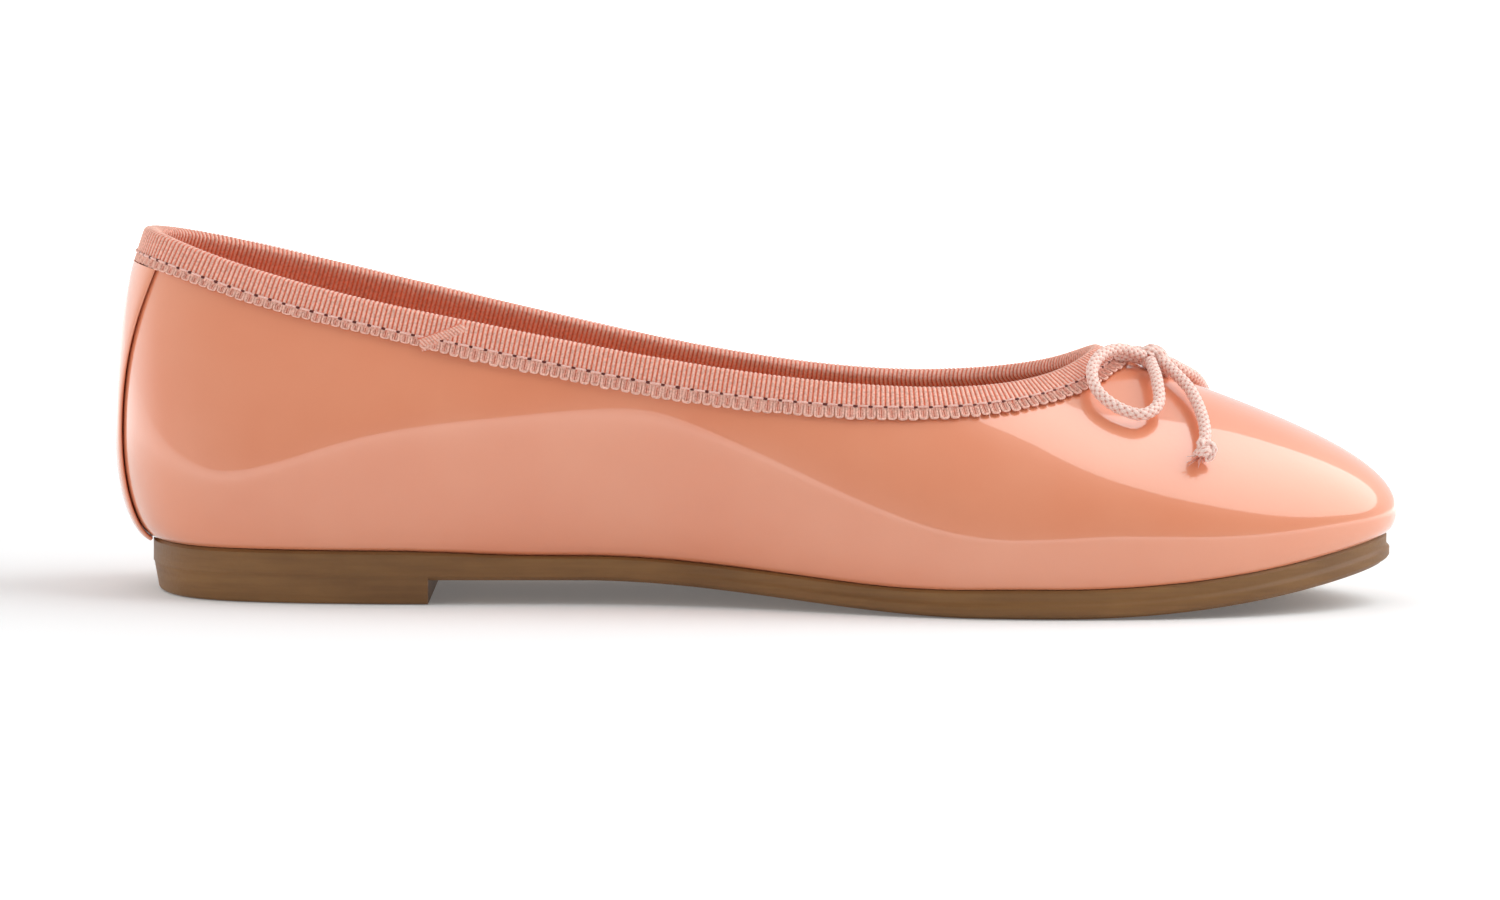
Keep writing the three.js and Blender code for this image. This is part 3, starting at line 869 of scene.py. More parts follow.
class RepeatTree:
    """Geometry Nodes that set one small unit on every point of a row. A point's values "along" and
    "outward" aim the unit's X and Z, and "stretch" scales it."""

    def __init__(self) -> None:
        """Builds the tree."""
        tree = bpy.data.node_groups.new("row_of_units", "GeometryNodeTree")
        self.tree = tree
        face = tree.interface
        face.new_socket("Geometry", in_out="INPUT", socket_type="NodeSocketGeometry")
        self.inputs = {
            name: face.new_socket(name, in_out="INPUT", socket_type=kind).identifier
            for name, kind in (
                ("Unit", "NodeSocketObject"), ("Finish", "NodeSocketMaterial"),
                ("Size Spread", "NodeSocketFloat"), ("Seed", "NodeSocketInt"),
            )
        }
        face.new_socket("Geometry", in_out="OUTPUT", socket_type="NodeSocketGeometry")
        nodes, link = tree.nodes, tree.links.new
        source, target = nodes.new("NodeGroupInput"), nodes.new("NodeGroupOutput")
        aim = nodes.new("FunctionNodeAxesToRotation")
        aim.primary_axis, aim.secondary_axis = "X", "Z"
        link(self.vector("along"), aim.inputs["Primary Axis"])
        link(self.vector("outward"), aim.inputs["Secondary Axis"])
        low, high = nodes.new("ShaderNodeMath"), nodes.new("ShaderNodeMath")
        low.operation, high.operation = "SUBTRACT", "ADD"
        draw = nodes.new("FunctionNodeRandomValue")
        for end, name in ((low, "Min"), (high, "Max")):
            end.inputs[0].default_value = 1.0
            link(source.outputs["Size Spread"], end.inputs[1])
            sockets = [s for s in draw.inputs if s.name == name and s.enabled]
            link(end.outputs[0], sockets[0])
        link(source.outputs["Seed"], draw.inputs["Seed"])
        size = nodes.new("ShaderNodeVectorMath")
        size.operation = "SCALE"
        link(self.vector("stretch"), size.inputs[0])
        link([s for s in draw.outputs if s.enabled][0], size.inputs["Scale"])
        unit_info = nodes.new("GeometryNodeObjectInfo")
        unit_info.inputs["As Instance"].default_value = True
        link(source.outputs["Unit"], unit_info.inputs["Object"])
        spread = nodes.new("GeometryNodeInstanceOnPoints")
        link(source.outputs["Geometry"], spread.inputs["Points"])
        link(unit_info.outputs["Geometry"], spread.inputs["Instance"])
        link(aim.outputs["Rotation"], spread.inputs["Rotation"])
        link(size.outputs["Vector"], spread.inputs["Scale"])
        real = nodes.new("GeometryNodeRealizeInstances")
        link(spread.outputs["Instances"], real.inputs["Geometry"])
        dressed = nodes.new("GeometryNodeSetMaterial")
        link(real.outputs["Geometry"], dressed.inputs["Geometry"])
        link(source.outputs["Finish"], dressed.inputs["Material"])
        link(dressed.outputs["Geometry"], target.inputs["Geometry"])

    def vector(self, name: str) -> bpy.types.NodeSocket:
        """A vector value of the points."""
        node = self.tree.nodes.new("GeometryNodeInputNamedAttribute")
        node.data_type = "FLOAT_VECTOR"
        node.inputs["Name"].default_value = name
        return node.outputs["Attribute"]

    def grow(self, name: str, row: Form, unit_form: Form, shift: Array, finish: bpy.types.Material,
             spread: float, seed: int) -> bpy.types.Mesh:
        """Sets units along a row.

        Args:
            name: The mesh's name.
            row: The points, with their values and no faces.
            unit_form: The unit, in millimetres round its own origin.
            shift: What takes the last's millimetres to the frame's.
            finish: The units' material.
            spread: How far a unit's size may differ, as a share.
            seed: Seed of the sizes.

        Returns:
            The units as one plain mesh.
        """
        still = np.zeros(3)
        sample = bpy.data.objects.new(f"{name}_unit", unit_form.mesh(f"{name}_unit", still, 50))
        carrier = bpy.data.objects.new(f"{name}_row", row.mesh(f"{name}_row", shift))
        for obj in (sample, carrier):
            bpy.context.scene.collection.objects.link(obj)
        settings = {"Unit": sample, "Finish": finish, "Size Spread": spread, "Seed": seed}
        mesh = evaluated(carrier, self.tree, {self.inputs[key]: v for key, v in settings.items()}, name)
        for obj in (sample, carrier):
            bpy.data.objects.remove(obj)
        return mesh


class RibTree:
    """Geometry Nodes that raise ribs across a ribbon. The point value "run" counts ribs along it, and
    "raised" says how much of a rib a point gets. The rib's height is kept as "rib"."""

    def __init__(self) -> None:
        """Builds the tree."""
        tree = bpy.data.node_groups.new("ribbon_ribs", "GeometryNodeTree")
        self.tree = tree
        face = tree.interface
        face.new_socket("Geometry", in_out="INPUT", socket_type="NodeSocketGeometry")
        self.inputs = {
            name: face.new_socket(name, in_out="INPUT", socket_type=kind).identifier
            for name, kind in (("Rib Height", "NodeSocketFloat"), ("Finish", "NodeSocketMaterial"))
        }
        face.new_socket("Geometry", in_out="OUTPUT", socket_type="NodeSocketGeometry")
        nodes, link = tree.nodes, tree.links.new
        source, target = nodes.new("NodeGroupInput"), nodes.new("NodeGroupOutput")
        turn = self.math("MULTIPLY", self.value("run"), math.pi)
        wave = self.math("ABSOLUTE", self.math("SINE", turn))
        height = self.math("MULTIPLY", wave, self.value("raised"))
        lift = self.math("MULTIPLY", height, source.outputs["Rib Height"])
        move = nodes.new("ShaderNodeVectorMath")
        move.operation = "SCALE"
        link(nodes.new("GeometryNodeInputNormal").outputs["Normal"], move.inputs[0])
        link(lift, move.inputs["Scale"])
        raised = nodes.new("GeometryNodeSetPosition")
        link(source.outputs["Geometry"], raised.inputs["Geometry"])
        link(move.outputs["Vector"], raised.inputs["Offset"])
        # The stored rib height later colours the ribbon deeper in its grooves: painted shade.
        kept = nodes.new("GeometryNodeStoreNamedAttribute")
        kept.inputs["Name"].default_value = "rib"
        link(raised.outputs["Geometry"], kept.inputs["Geometry"])
        link(height, kept.inputs["Value"])
        real = nodes.new("GeometryNodeRealizeInstances")
        link(kept.outputs["Geometry"], real.inputs["Geometry"])
        dressed = nodes.new("GeometryNodeSetMaterial")
        link(real.outputs["Geometry"], dressed.inputs["Geometry"])
        link(source.outputs["Finish"], dressed.inputs["Material"])
        link(dressed.outputs["Geometry"], target.inputs["Geometry"])

    def value(self, name: str) -> bpy.types.NodeSocket:
        """A number of the points."""
        node = self.tree.nodes.new("GeometryNodeInputNamedAttribute")
        node.data_type = "FLOAT"
        node.inputs["Name"].default_value = name
        return node.outputs["Attribute"]

    def math(self, operation: str, *terms: object) -> bpy.types.NodeSocket:
        """A step of arithmetic on sockets and numbers."""
        node = self.tree.nodes.new("ShaderNodeMath")
        node.operation = operation
        for socket, term in zip(node.inputs, terms):
            if isinstance(term, bpy.types.NodeSocket):
                self.tree.links.new(term, socket)
            else:
                socket.default_value = term
        return node.outputs[0]

    def raise_ribs(self, name: str, smooth: bpy.types.Mesh, height: float, finish: bpy.types.Material
                   ) -> bpy.types.Mesh:
        """Raises the ribs of a ribbon.

        Args:
            name: The mesh's name.
            smooth: The ribbon without ribs.
            height: The height of a rib, in metres.
            finish: The ribbon's material.

        Returns:
            The ribbed ribbon as a plain mesh.
        """
        carrier = bpy.data.objects.new(f"{name}_plain", smooth)
        bpy.context.scene.collection.objects.link(carrier)
        settings = {"Rib Height": height, "Finish": finish}
        mesh = evaluated(carrier, self.tree, {self.inputs[key]: v for key, v in settings.items()}, name)
        bpy.data.objects.remove(carrier)
        return mesh


def evaluated(obj: bpy.types.Object, tree: bpy.types.NodeTree, settings: dict[str, object], name: str
              ) -> bpy.types.Mesh:
    """Runs a tree on an object and takes the result as a plain mesh.

    Args:
        obj: The object that carries the tree's input.
        tree: The tree.
        settings: Its inputs by identifier.
        name: The new mesh's name.

    Returns:
        The mesh.
    """
    modifier = obj.modifiers.new("tree", "NODES")
    modifier.node_group = tree
    for key, value in settings.items():
        modifier[key] = value
    depsgraph = bpy.context.evaluated_depsgraph_get()
    mesh = bpy.data.meshes.new_from_object(obj.evaluated_get(depsgraph))
    mesh.name = name
    obj.modifiers.remove(modifier)
    return mesh


# Sub-assemblies


@dataclass
class Upper:
    """The patent upper and its lining, which share the wall's thickness."""

    shift: Array
    wall: float = 1.6
    patent: float = 0.9
    steps_per_section: int = 22
    wall_rows: int = 44
    roll_rows: int = 16
    lining_rows: int = 26

    def rows(self, u: Array, wall_rows: int, roll_rows: int) -> Array:
        """Distances down from the topline to the margin's edge, columns by rows."""
        _, distances = LAST.ribs(u)
        swell = distances[:, LAST.fine]
        feather = distances[:, 2 * LAST.fine]
        on_wall = np.linspace(0, 1, wall_rows + 1)[None] * swell[:, None]
        share = np.linspace(0, 1, roll_rows + 1)[None, 1:]
        on_roll = swell[:, None] + share * (feather - swell)[:, None]
        return np.concatenate([on_wall, on_roll, distances[:, -1:]], axis=1)

    def shell(self, outside: float, inside: float, wall_rows: int, roll_rows: int) -> Form:
        """A closed layer of the wall between two offsets from its outer face."""
        u = np.arange(ROWS_ROUND * self.steps_per_section) / self.steps_per_section
        down = self.rows(u, wall_rows, roll_rows)
        face, normal = LAST.face(u, down), LAST.normals(u, down)
        outer = face + normal * outside
        inner = face + normal * inside
        return band(np.concatenate([outer, inner[:, ::-1]], axis=1))

    def build(self, patent: bpy.types.Material, lining: bpy.types.Material) -> list[bpy.types.Object]:
        """Makes the upper and its lining.

        Args:
            patent: The outer finish.
            lining: The inner finish.

        Returns:
            The two pieces.
        """
        outer = self.shell(0.0, -self.patent, self.wall_rows, self.roll_rows)
        inner = self.shell(-self.patent, -self.wall, self.lining_rows, self.roll_rows // 2)
        return [
            piece("patent_upper", outer.mesh("patent_upper", self.shift, 40), patent, "patent", "upper"),
            piece("upper_lining", inner.mesh("upper_lining", self.shift, 40), lining, "lining"),
        ]


@dataclass
class Outsole:
    """The moulded sole: a slab with a soft rib along the forefoot's side, and a low heel under it."""

    shift: Array
    edge: float = 0.8
    lip_out: float = 0.6
    foot_round: float = 1.4
    seat_round: float = 0.4
    lip_start: float = 95.0
    lip_full: float = 165.0
    heel_taper: float = 1.0
    heel_edge: float = 0.9
    heel_bite: float = 1.5
    seat_rise: float = 0.28
    steps_per_section: int = 20

    def side(self, level: float, x: Array) -> Array:
        """How far the side stands out past the feather line.

        Args:
            level: The height in the sole, from 0 at its underside to 1 at its top.
            x: Places along the shoe.

        Returns:
            The distances out.
        """
        lip = self.lip_out * smooth_step(self.lip_start, self.lip_full, x)
        low_round = self.foot_round * (1 - smooth_step(0.0, 0.2, level)) ** 2
        top_round = self.seat_round * smooth_step(0.9, 1.0, level)
        ridge = 1 - smooth_step(0.44, 0.62, level)
        return self.edge + lip * ridge - low_round - top_round

    def ring(self, u: Array, level: float) -> Array:
        """One ring of the slab's side."""
        points = LAST.feather_at(u, self.side(level, LAST.column("x", u)))
        x = points[:, 0]
        rise = self.seat_rise * smooth_step(0.6, 1.0, level)
        points[:, 2] = LAST.sole.slab_height(x) + level * LAST.sole.thickness_at(x) + rise
        return points

    def slab(self) -> Form:
        """The sole without its heel."""
        u = np.arange(ROWS_ROUND * self.steps_per_section) / self.steps_per_section
        levels = (0.0, 0.04, 0.1, 0.18, 0.28, 0.36, 0.44, 0.48, 0.53, 0.58, 0.62, 0.7, 0.8, 0.9, 0.96, 1.0)
        return stack_of_rings(np.stack([self.ring(u, level) for level in levels]))

    def heel_ring(self, out: float, height: float) -> Array:
        """One ring of the heel: round the back and straight across its front face."""
        side_points, front_points = 60, 24
        reach = []
        for side in Side:
            u = np.linspace(0, 5, 400) * (-side.value)
            u = u if side is Side.INNER else u + ROWS_ROUND
            x = LAST.feather_at(u, out)[:, 0]
            reach.append(float(np.interp(LAST.sole.breast_at, x, u)))
        inner, outer = reach
        round_back = LAST.feather_at(np.linspace(outer - ROWS_ROUND, inner, 2 * side_points + 1), out)
        share = np.linspace(0, 1, front_points + 1)[1:-1, None]
        front = round_back[-1] * (1 - share) + round_back[0] * share
        ring = np.vstack([round_back, front])
        ring[:, 2] = height
        return ring

    def heel(self) -> Form:
        """The heel block, reaching up into the slab."""
        foot = self.edge - self.heel_taper
        top = LAST.sole.heel_lift + self.heel_bite
        rings = [
            self.heel_ring(foot - self.heel_edge * (1 - math.sin(turn)), self.heel_edge * (1 - math.cos(turn)))
            for turn in np.linspace(0, math.pi / 2, 6)
        ]
        rings += [
            self.heel_ring(foot + (self.heel_taper - 0.02) * share,
                           self.heel_edge + (top - self.heel_edge) * share)
            for share in np.linspace(0, 1, 9)[1:]
        ]
        return stack_of_rings(np.stack(rings))

    def build(self, rubber: bpy.types.Material) -> bpy.types.Object:
        """Makes the sole as one closed piece."""
        slab = bpy.data.objects.new("slab", self.slab().mesh("slab", self.shift))
        heel = bpy.data.objects.new("heel", self.heel().mesh("heel", self.shift))
        for obj in (slab, heel):
            bpy.context.scene.collection.objects.link(obj)
        join = slab.modifiers.new("join", "BOOLEAN")
        join.operation, join.solver, join.object = "UNION", "MANIFOLD", heel
        depsgraph = bpy.context.evaluated_depsgraph_get()
        mesh = bpy.data.meshes.new_from_object(slab.evaluated_get(depsgraph))
        mesh.name = "rubber_sole"
        for obj in (slab, heel):
            bpy.data.objects.remove(obj)
        mesh.shade_smooth()
        mesh.set_sharp_from_angle(angle=math.radians(35))
        return piece("rubber_sole", mesh, rubber, "gum_rubber", "outsole")


@dataclass
class Insole:
    """The insole, softly crowned, with its edge hidden against the wall."""

    shift: Array
    thickness: float = 2.6
    inset: float = 1.4
    wall: float = 1.6
    round_over: float = 0.9
    steps_per_section: int = 12

    def build(self, finish: bpy.types.Material) -> bpy.types.Object:
        """Makes the insole."""
        u = np.arange(ROWS_ROUND * self.steps_per_section) / self.steps_per_section
        rings = []
        for inward, rise in ((0.0, 0.0), (0.0, 0.55), (0.15, 0.8), (0.5, 0.95), (1.2, 1.0), (4.0, 0.97),
                             (8.0, 0.92), (13.0, 0.88), (18.0, 0.86)):
            points = LAST.feather_at(u, -self.inset - self.round_over * min(inward, 1.0) - max(inward - 1, 0))
            under = LAST.sole.seat_height(points[:, 0]) + self.wall + 2 * LAST.gap
            points[:, 2] = under + rise * self.thickness
            rings.append(points)
        form = stack_of_rings(np.stack(rings))
        return piece("padded_insole", form.mesh("padded_insole", self.shift, 60), finish, "lining", "insole")


@dataclass
class TopBinding:
    """Ribbed ribbon folded over the topline, with looped edges, two rows of stitches and a lapped joint."""

    shift: Array
    wall: float = 1.6
    rib_pitch: float = 0.9
    rib_height: float = 0.26
    columns_per_rib: int = 6
    under: float = 0.12
    over: float = 0.66
    crown: float = 0.8
    outside: float = 4.7
    inside: float = 6.0
    stitch_pitch: float = 2.85
    stitch_down: float = 4.25
    inner_stitch_down: float = 5.4
    picot_pitch: float = 1.95
    picot_width: float = 1.84
    picot_reach_back: float = 1.75
    picot_reach_front: float = 2.6
    picot_change: tuple[float, float] = (58.0, 70.0)
    inner_picot_reach: float = 1.1
    inside_flatter: float = 0.45
    joint_top: float = 68.5
    joint_foot: float = 60.5
    joint_lift: float = 0.35
    joint_roll: float = 2.6
    joint_height: float = 0.9
    joint_fade: float = 18.0

    def section(self) -> Array:
        """The folded section as rows of distance down, offset and share of a rib."""
        inner_over, inner_under = -self.wall - self.over, -self.wall - self.under
        flap = [[self.outside * t, self.over - 0.12 * smooth_step(0.75, 1.0, t), 1.0]
                for t in np.linspace(1, 0, 7)]
        middle, half = (self.over + inner_over) / 2, (self.over - inner_over) / 2
        fold = [[-self.crown * math.sin(a), middle + half * math.cos(a), 1.0]
                for a in np.linspace(0, math.pi, 10)[1:-1]]
        # Inside the fold the ribs are lower, so the ribbon there takes more of the deep groove colour: painted
        # shade inside the shoe.
        back = [[self.inside * t, inner_over, 1.0 - self.inside_flatter * smooth_step(0.0, 0.3, t)]
                for t in np.linspace(0, 1, 7)]
        hidden = [[self.inside, inner_under, 0.0], [0.0, inner_under, 0.0], [-0.12, inner_under, 0.0],
                  [-0.12, self.under, 0.0], [0.0, self.under, 0.0], [self.outside, self.under, 0.0]]
        return np.array([*flap, *fold, *back, *hidden])

    def lapped(self, points_x: Array, down: Array) -> Array:
        """How far the ribbon is lifted where its front end laps over its back end."""
        line = self.joint_top + (self.joint_foot - self.joint_top) * np.clip(down / self.outside, 0, 1)
        ahead = points_x - line
        return self.joint_lift * smooth_step(-0.2, 0.2, ahead) * (1 - smooth_step(0.5, self.joint_fade, ahead))

    def ribbon(self, tree: RibTree, finish: bpy.types.Material) -> bpy.types.Object:
        """Makes the folded ribbon with its ribs."""
        fold_middle = -self.wall / 2
        ribs = len(LAST.evenly(self.rib_pitch, 0.0, fold_middle))
        u = LAST.evenly(self.rib_pitch / self.columns_per_rib, 0.0, fold_middle)
        count = ribs * self.columns_per_rib
        u = np.interp(np.arange(count) / count, np.arange(len(u) + 1) / len(u), np.append(u, ROWS_ROUND))
        edge = Edge(u)
        rows = self.section()
        down = np.broadcast_to(rows[:, 0], (count, len(rows)))
        offset = np.broadcast_to(rows[:, 1], (count, len(rows))).copy()
        x = edge.at(down, offset)[..., 0]
        is_near = (u < TOE_ROW)[:, None] & (rows[:, 1] > -self.wall / 2)[None]
        offset += np.where(is_near, self.lapped(x, down), 0.0)
        run = np.broadcast_to((np.arange(count) / self.columns_per_rib)[:, None], down.shape)
        raised = np.broadcast_to(rows[:, 2], down.shape)
        form = band(edge.at(down, offset), {"run": run, "raised": raised})
        smooth = form.mesh("binding_plain", self.shift, 60)
        mesh = tree.raise_ribs("binding_ribbon", smooth, self.rib_height * MM, finish)
        return piece("binding_ribbon", mesh, finish, "ribbon", "top_binding")

    def row(self, pitch: float, down: float, offset: float, stretch: Array | None = None,
            start: float = 0.0, is_inside: bool = False) -> Form:
        """Points along the ribbon for a repeat.

        Args:
            pitch: Their spacing.
            down: Their distance below the topline.
            offset: Their offset from the upper's outer face.
            stretch: Their scales, or None for all the same.
            start: Where the first one is, in pitches.
            is_inside: Whether they face into the shoe.

        Returns:
            The points with their aims.
        """
        u = LAST.evenly(pitch, down, offset)
        u = np.interp(np.arange(len(u)) + start, np.arange(len(u) + 2), np.append(u, ROWS_ROUND + u[:2]))
        edge = Edge(u)
        downs = np.full((len(u), 1), down)
        outward = edge.outward_at(downs)[:, 0]
        points = edge.at(downs, np.full((len(u), 1), offset))[:, 0]
        if not is_inside:
            lift = np.where(u < TOE_ROW, self.lapped(points[:, 0], downs[:, 0]), 0.0)
            points = points + outward * lift[:, None]
        sign = -1.0 if is_inside else 1.0
        line = np.roll(points, -1, axis=0) - np.roll(points, 1, axis=0)
        scale = np.ones((len(u), 3)) if stretch is None else stretch(points[:, 0])
        values = {"along": unit(line) * sign, "outward": outward * sign, "stretch": scale}
        return Form(points, [], values)

    def picot_unit(self) -> Form:
        """One loop of the edge, hanging down from its root, as long as the loops of the front, with a dark
        plate of painted shade behind it.
        """
        thread, half, reach = 0.25, self.picot_width / 2 - 0.22, self.picot_reach_front
        turn = np.linspace(math.pi, 2 * math.pi, 7)
        corner = 0.6
        across = half * np.sign(np.cos(turn)) * np.abs(np.cos(turn)) ** corner
        below = -reach + thread + 0.6 * (1 - np.abs(np.sin(turn)) ** corner)
        bend = np.stack([across, below, np.zeros(7)], axis=1)
        line = np.vstack([[-half, 0.2, -0.05], bend, [half, 0.2, -0.05]])
        rings = tube(line, np.full((len(line), 5), thread), 5)
        form = capped(rings, {"rib": np.full(rings.shape[:2], 0.95)})
        for x in (-0.27, 0.27):
            bar_line = np.array([[x, 0.2, -0.06], [x, -reach + 0.5, -0.06]])
            bar = tube(bar_line, np.full((2, 4), 0.2), 4)
            form = form.joined(capped(bar, {"rib": np.full(bar.shape[:2], 0.75)}))
        # The plate behind the loops takes a low rib share and so the deep groove colour: a dark sheet painted
        # where there is only shade between the loops.
        width = half + 0.1
        shade_plate = np.array([[[x, y, z] for x, y in ((-width, 0.2), (-width, 0.5 - reach), (0.0, 0.3 - reach),
                                                  (width, 0.5 - reach), (width, 0.2))]
                          for z in (-0.26, -0.12)])
        return form.joined(capped(shade_plate, {"rib": np.full(shade_plate.shape[:2], 0.28)}))

    def picot_stretch(self, x: Array) -> Array:
        """Scales of the outer loops along the shoe: shorter behind the joint."""
        share = smooth_step(*self.picot_change, x)
        reach = self.picot_reach_back + (self.picot_reach_front - self.picot_reach_back) * share
        return np.stack([np.ones_like(x), reach / self.picot_reach_front, np.ones_like(x)], axis=1)

    def inner_stretch(self, x: Array) -> Array:
        """Scales of the inner loops."""
        share = self.inner_picot_reach / self.picot_reach_front
        return np.stack([np.ones_like(x), np.full_like(x, share), np.ones_like(x)], axis=1)

    def stitch_unit(self) -> Form:
        """One stitch: thread that dips into the ribbon at both ends."""
        x = np.linspace(-0.42, 0.42, 6) * self.stitch_pitch
        rise = 0.16 - 0.5 * (np.abs(x) / (0.42 * self.stitch_pitch)) ** 4
        line = np.stack([x, np.zeros(6), rise], axis=1)
        rings = tube(line, np.full((6, 5), 0.21), 5)
        return capped(rings)

    def hole_shade_unit(self) -> Form:
        """One needle hole: a dark lens lying in the ribbon, painted shade where the thread goes in."""
        turn = np.arange(8) * math.pi / 4
        ring = np.stack([0.56 * np.cos(turn), 0.26 * np.sin(turn), np.zeros(8)], axis=1)
        low = ring * 0.6 + np.array([0, 0, -0.25])
        high = ring * 0.55 + np.array([0, 0, 0.12])
        return capped(np.stack([low, ring, high]))

    def joint(self, finish: bpy.types.Material) -> bpy.types.Object:
        """Makes the folded end of the ribbon's front, which runs aslant down the outside."""
        steps, across = 90, 15
        share = np.linspace(0, 1, steps)
        down = -0.4 + (self.stitch_down + 0.9) * share
        x = self.joint_top + 0.4 + (self.joint_foot - self.joint_top - 0.4) * share ** 1.1
        u = np.array([LAST.section_at(a, Side.INNER, max(d, 0.0)) for a, d in zip(x, down)])
        base = LAST.face(u, down[:, None])[:, 0]
        normal = LAST.normals(u, np.maximum(down, 0.0)[:, None])[:, 0]
        line = unit(np.gradient(base, axis=0))
        ahead = unit(np.cross(line, normal))
        ahead = ahead * np.sign(ahead[:, :1])
        slope = np.linspace(0.45, self.joint_roll, across - 5)
        reach = np.concatenate([[0.0, 0.05, 0.2], slope, [self.joint_roll, 0.0]])
        rise = np.sqrt(np.clip(1 - ((reach - 0.9) / 0.9) ** 2, 0, 1))
        rise[reach > 0.9] = (1 - smooth_step(0.9, self.joint_roll, reach[reach > 0.9]))
        rise[-2:] = -0.6
        ease = np.sqrt(np.clip(1 - np.abs(2 * share - 1) ** 8, 0.03, 1))[:, None]
        run = lengths_along(base)[:, None] / (0.7 * self.rib_pitch)
        rib = np.abs(np.sin(math.pi * (run + 0.8 * reach[None])))
        lift = self.over + self.rib_height * 0.6 + rise[None] * ease * (self.joint_height + 0.12 * rib)
        rings = base[:, None] + ahead[:, None] * reach[None, :, None] + normal[:, None] * lift[..., None]
        # The tone is lowest at the fold's back edge and in the rib grooves: a painted shadow line along the
        # lapped edge and painted shade in the grooves.
        tone = (0.3 + 0.65 * rib) * smooth_step(0.0, 0.5, reach)[None]
        form = capped(rings, {"rib": tone})
        mesh = form.mesh("binding_joint", self.shift, 70)
        return piece("binding_joint", mesh, finish, "ribbon")

    def build(self, ribs: RibTree, repeats: RepeatTree, ribbon: bpy.types.Material,
              thread: bpy.types.Material, hole_shade: bpy.types.Material) -> list[bpy.types.Object]:
        """Makes the binding.

        Args:
            ribs: The tree that raises the ribs.
            repeats: The tree that sets repeats.
            ribbon: The ribbon's finish.
            thread: The stitches' finish.
            hole_shade: The needle holes' finish.

        Returns:
            The pieces.
        """
        inner_over = -self.wall - self.over
        top = self.over + self.rib_height
        rows = (
            ("binding_picots", self.row(self.picot_pitch, self.stitch_down + 0.1, self.over - 0.02,
                                        self.picot_stretch), self.picot_unit(), ribbon, "ribbon", 0.06, 3),
            ("binding_picots_inside", self.row(self.picot_pitch, self.inside - 0.25, inner_over + 0.05,
                                               self.inner_stretch, is_inside=True),
             self.picot_unit(), ribbon, "ribbon", 0.06, 5),
            ("binding_stitches", self.row(self.stitch_pitch, self.stitch_down, top - 0.02),
             self.stitch_unit(), thread, "ribbon", 0.08, 7),
            ("binding_stitches_inside", self.row(self.stitch_pitch, self.inner_stitch_down,
                                                 inner_over - self.rib_height + 0.02, is_inside=True),
             self.stitch_unit(), thread, "ribbon", 0.08, 9),
            # Dark lenses between the stitches stand for the shade in the needle holes: painted shade.
            ("binding_holes", self.row(self.stitch_pitch, self.stitch_down, top - 0.06, start=0.5),
             self.hole_shade_unit(), hole_shade, "ribbon", 0.15, 11),
            ("binding_holes_inside", self.row(self.stitch_pitch, self.inner_stitch_down,
                                              inner_over - self.rib_height + 0.06, start=0.5, is_inside=True),
             self.hole_shade_unit(), hole_shade, "ribbon", 0.15, 13),
        )
        made = [self.ribbon(ribs, ribbon), self.joint(ribbon)]
        for name, row, unit_form, finish, slot, spread, seed in rows:
            mesh = repeats.grow(name, row, unit_form, self.shift, finish, spread, seed)
            made.append(piece(name, mesh, finish, slot))
        return made


@dataclass
class BackStay:
    """The strip over the back seam, with rolled edges that stand a little off the upper."""

    shift: Array
    half_top: float = 0.94
    half_middle: float = 0.47
    half_foot: float = 0.54
    from_top: float = 6.2
    foot: float = 1.5
    gap: float = 0.05
    thickness: float = 1.05
    across: int = 44
    rows: int = 110

    def build(self, patent: bpy.types.Material) -> bpy.types.Object:
        """Makes the strip."""
        share = 1 - (1 - np.linspace(0, 1, self.rows + 1)) ** 1.3
        spread = smooth_route(np.array([[self.half_top, 0, 0], [self.half_middle, 1, 0],
                                        [self.half_foot, 2, 0]]))
        half = np.interp(share, np.linspace(0, 1, len(spread)), spread[:, 0])
        place = np.sin(np.linspace(-1, 1, self.across + 1) * math.pi / 2)
        u = half[:, None] * place[None]
        flat = u.ravel()
        _, distances = LAST.ribs(flat)
        feather = distances[:, 2 * LAST.fine].reshape(u.shape)
        down = self.from_top + (feather - self.foot - self.from_top) * share[:, None]
        face = LAST.face(flat, down.reshape(-1, 1))[:, 0].reshape(*u.shape, 3)
        normal = LAST.normals(flat, down.reshape(-1, 1))[:, 0].reshape(*u.shape, 3)
        roll = np.sqrt(np.clip(1 - np.abs(place) ** 10, 0, 1))[None, :, None]
        middle = self.gap + self.thickness / 2
        outer = face + normal * (middle + roll * self.thickness / 2)
        inner = face + normal * (middle - roll * self.thickness / 2)
        sections = np.concatenate([outer, inner[:, -2:0:-1]], axis=1)
        form = capped(sections)
        return piece("back_strip", form.mesh("back_strip", self.shift, 60), patent, "patent", "back_stay")


class Stop(NamedTuple):
    """A place on a cord's route: sections from the knot, distance down from the topline, and height
    above the leather."""

    sections: float
    down: float
    lift: float


